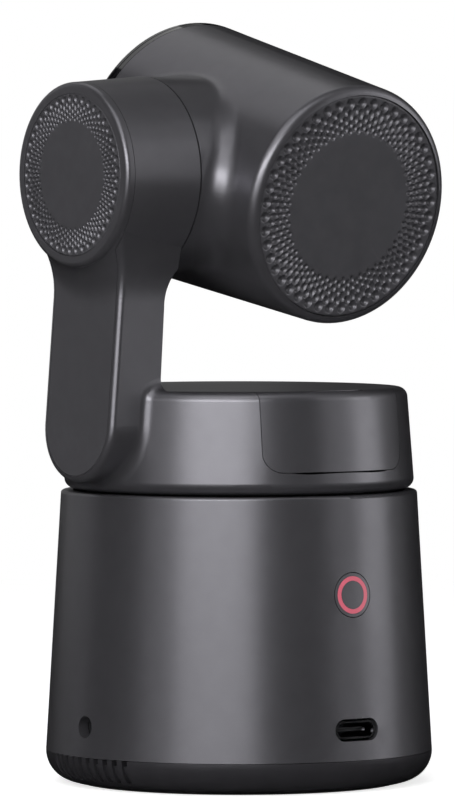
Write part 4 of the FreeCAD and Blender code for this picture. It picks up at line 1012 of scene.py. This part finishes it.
# On the head's axis, facing its rear.
REAR_DISC = DimpledDisc(
    name="rear_dimple_disc", node="rear_grille", body="head", slot="grille", finish="grille",
    radius=20.4, thickness=1.6, plain_radius=13.15, field_radius=19.98,
    rows=dimple_rows((18.9, 0.92, 1.0), (17.66, 0.69, 0.9), (16.9, 0.63, 1.08), (15.97, 0.6, 0.85),
                     (15.2, 0.56, 0.75), (14.47, 0.51, 0.72), (13.85, 0.46, 0.62)),
    depth_share=0.85, outward=56,
    place=(shifted(x=HEAD_MIDDLE_X, z=TILT_AXIS_HEIGHT) @ turned(-REST_TILT_DEG, "X") @ shifted(y=27.4)
           @ turned(-90.0, "X")),
)

# On the tilt axis, facing the arm's outer side.
ARM_DISC = DimpledDisc(
    name="arm_dimple_disc", node="arm_grille", body="turret", slot="casing", finish="pressed_casing",
    radius=14.68, thickness=0.64, plain_radius=9.5, field_radius=14.46,
    rows=dimple_rows((13.66, 0.67, 0.72), (12.79, 0.51, 0.65), (12.25, 0.46, 0.78), (11.6, 0.43, 0.62),
                     (11.05, 0.41, 0.55), (10.5, 0.37, 0.52), (10.02, 0.34, 0.44)),
    depth_share=0.6, outward=46,
    place=shifted(x=37.97, z=TILT_AXIS_HEIGHT) @ turned(90.0, "Y"),
)


@dataclass(frozen=True)
class Softbox:
    """One soft lamp: how it is seen from the object, in degrees, its level, and how far away it is."""

    name: str
    bearing: float
    elevation: float
    wide: float
    tall: float
    level: float
    distance: float


NEAR = 0.8
FAR = 1.6
LAMPS = (
    Softbox("lamp_main", -14.0, 17.0, 48.0, 18.0, 5.5, NEAR),
    Softbox("lamp_main_low", -14.0, -1.0, 48.0, 18.0, 1.5, NEAR),
    Softbox("lamp_main_high", -14.0, 40.0, 40.0, 22.0, 1.2, NEAR),
    Softbox("lamp_main_edge", -50.0, 17.0, 24.0, 44.0, 0.5, FAR),
    Softbox("lamp_right", 94.0, 8.0, 24.0, 36.0, 1.65, NEAR),
    Softbox("lamp_right_high", 94.0, 38.0, 24.0, 24.0, 0.4, NEAR),
    Softbox("lamp_right_edge", 70.0, 17.0, 24.0, 44.0, 0.55, FAR),
    Softbox("lamp_right_back", 118.0, 17.0, 24.0, 44.0, 0.2, FAR),
    Softbox("lamp_left", -126.0, 17.0, 44.0, 44.0, 0.29, FAR),
    Softbox("lamp_left_back", -166.0, 17.0, 30.0, 44.0, 0.12, FAR),
    Softbox("lamp_back_left", -150.0, 56.0, 44.0, 34.0, 0.55, FAR),
    Softbox("lamp_back_right", 150.0, 56.0, 44.0, 34.0, 0.12, FAR),
    Softbox("lamp_high", -22.0, 62.0, 50.0, 30.0, 0.9, FAR),
    Softbox("lamp_high_right", 45.0, 62.0, 50.0, 30.0, 0.3, FAR),
    Softbox("lamp_top", 0.0, 89.0, 34.0, 34.0, 0.13, FAR),
)


@dataclass(frozen=True)
class Studio:
    """Pale floor, white surroundings, a dark tent for reflections, soft lamps and the camera.

    Lengths are in metres. The focal length, column and row are in the photograph's pixels, and the film's
    width is in millimetres.
    """

    camera_bearing: Vector = field(default_factory=lambda: Vector((0.6088, 0.7934, 0.0)))
    image_right: Vector = field(default_factory=lambda: Vector((-0.7934, 0.6088, 0.0)))
    camera_distance: float = 1.30173
    camera_height: float = 0.11604
    focal_pixels: float = 7091.0
    image_size: tuple[int, int] = (455, 805)
    axis_column: float = 239.0
    horizon_row: float = 149.64
    film_width: float = 36.0
    clip: Band = (0.01, 50.0)
    aim: Vector = field(default_factory=lambda: Vector((0.0, 0.0, 0.09)))
    fill: float = 0.02
    matt_roughness: float = 0.9
    floor_sides: int = 128
    floor_radius: float = 6.0
    floor_colour: Colour = (0.8, 0.8, 0.8)
    floor_top_up: float = 0.72
    floor_fade: Band = (0.12, 0.6)
    tent_sides: int = 90
    tent_radius: float = 2.2
    tent_height: float = 2.6
    tent_lift: float = 0.0002
    tent_colour: Colour = (0.004, 0.004, 0.004)

    def around(self, bearing_deg: float, distance: float, height: float) -> Vector:
        """A place round the object.

        Args:
            bearing_deg: Turn from the camera's side, to the image's right.
            distance: Metres from the pan axis.
            height: Metres above the floor.

        Returns:
            The place.
        """
        turn = math.radians(bearing_deg)
        flat = self.camera_bearing * math.cos(turn) + self.image_right * math.sin(turn)
        return flat * distance + Vector((0, 0, height))

    def make(self) -> None:
        """Build the whole stage."""
        self._world()
        self._floor()
        self._tent()
        for lamp in LAMPS:
            self._softbox(lamp)
        self._camera()

    def _world(self) -> None:
        """White surroundings to camera, glossy and transmitted rays, and a soft fill to the rest."""
        world = bpy.data.worlds.new("studio")
        bpy.context.scene.world = world
        world.use_nodes = True
        bench = Bench(world.node_tree)
        strength = bench.ranged(bench.seen(), (0.0, 1.0), (self.fill, 1.0))
        bench.feed(world.node_tree.nodes["Background"], color=WHITE, strength=strength)

    def _matt(self, name: str, colour: Colour) -> Surface:
        """Open a plain matt material for a stage piece.

        Args:
            name: The material's name.
            colour: Its colour.

        Returns:
            The material under way.
        """
        surface = Surface(name)
        surface.bench.feed(surface.shader, base_color=colour, roughness=self.matt_roughness,
                           specular_ior_level=0.0)
        return surface

    def _floor(self) -> None:
        """Lay the pale floor, topped up to white for the rays that see the surroundings white."""
        deselect()
        bpy.ops.mesh.primitive_circle_add(vertices=self.floor_sides, radius=self.floor_radius,
                                          fill_type="NGON")
        floor = bpy.context.object
        floor.name = "floor"
        surface = self._matt("pale_floor", self.floor_colour)
        bench = surface.bench
        seen = bench.seen()
        far = bench.ranged(bench.length(surface.place), self.floor_fade)
        far.node.interpolation_type = "SMOOTHSTEP"
        bench.feed(surface.shader, emission_color=WHITE,
                   emission_strength=bench.maths("MULTIPLY", seen, self.floor_top_up))
        white = bench.feed(bench.add("Emission"), color=WHITE, strength=1.0)
        mix = bench.add("MixShader")
        sources = (bench.maths("MULTIPLY", seen, far), surface.shader.outputs[0], white.outputs[0])
        for entry, source in zip(mix.inputs, sources):
            bench.give(entry, source)
        bench.give(surface.material.node_tree.nodes["Material Output"].inputs[0], mix.outputs[0])
        floor.data.materials.append(surface.material)

    def _tent(self) -> None:
        """Stand a dark closed drum round the object that only its reflections and its lens show."""
        deselect()
        middle = self.tent_height / 2 + self.tent_lift
        bpy.ops.mesh.primitive_cylinder_add(vertices=self.tent_sides, radius=self.tent_radius,
                                            depth=self.tent_height, location=(0, 0, middle))
        tent = bpy.context.object
        tent.name = "dark_tent"
        tent.visible_camera = False
        tent.visible_diffuse = False
        tent.visible_shadow = False
        tent.data.materials.append(self._matt(tent.name, self.tent_colour).material)

    def _softbox(self, box: Softbox) -> None:
        """Hang a soft lamp that faces the object.

        Args:
            box: Where the lamp is seen, how large and how bright; at level 1 its face is white.
        """
        lift = math.radians(box.elevation)
        lamp = bpy.data.lights.new(box.name, "AREA")
        lamp.shape = "RECTANGLE"
        lamp.size = 2 * box.distance * math.tan(math.radians(box.wide / 2))
        lamp.size_y = 2 * box.distance * math.tan(math.radians(box.tall / 2))
        lamp.energy = 4 * lamp.size * lamp.size_y * box.level
        piece = bpy.data.objects.new(box.name, lamp)
        bpy.context.scene.collection.objects.link(piece)
        piece.location = self.around(box.bearing, box.distance * math.cos(lift),
                                     self.aim.z + box.distance * math.sin(lift))
        piece.rotation_mode = "QUATERNION"
        piece.rotation_quaternion = (self.aim - piece.location).to_track_quat("-Z", "Y")
        piece.visible_camera = False

    def _camera(self) -> None:
        """Set the camera where the photograph was taken from."""
        width, height = self.image_size
        yaw = math.atan((self.axis_column - width / 2) / self.focal_pixels)
        pitch = math.atan((height / 2 - self.horizon_row) / self.focal_pixels)
        ahead = -self.camera_bearing * math.cos(yaw) - self.image_right * math.sin(yaw)
        ahead = ahead * math.cos(pitch) - Vector((0, 0, 1)) * math.sin(pitch)
        view = bpy.data.cameras.new("view")
        view.sensor_width = self.film_width
        view.lens = self.focal_pixels * self.film_width / height
        view.clip_start, view.clip_end = self.clip
        camera = bpy.data.objects.new("view", view)
        bpy.context.scene.collection.objects.link(camera)
        camera.location = self.camera_bearing * self.camera_distance + Vector((0, 0, self.camera_height))
        camera.rotation_mode = "QUATERNION"
        camera.rotation_quaternion = ahead.to_track_quat("-Z", "Y")
        bpy.context.scene.camera = camera


def main() -> None:
    """Build the finishes, the pieces and the stage."""
    logging.basicConfig(level=logging.INFO, format="%(message)s")
    bpy.context.scene.view_settings.view_transform = "Standard"
    finishes = Finishes(Effects())
    finishes.dress_nodes()
    for disc in (REAR_DISC, ARM_DISC):
        disc.make(finishes)
    Studio().make()
    deselect()


if __name__ == "__main__":
    main()
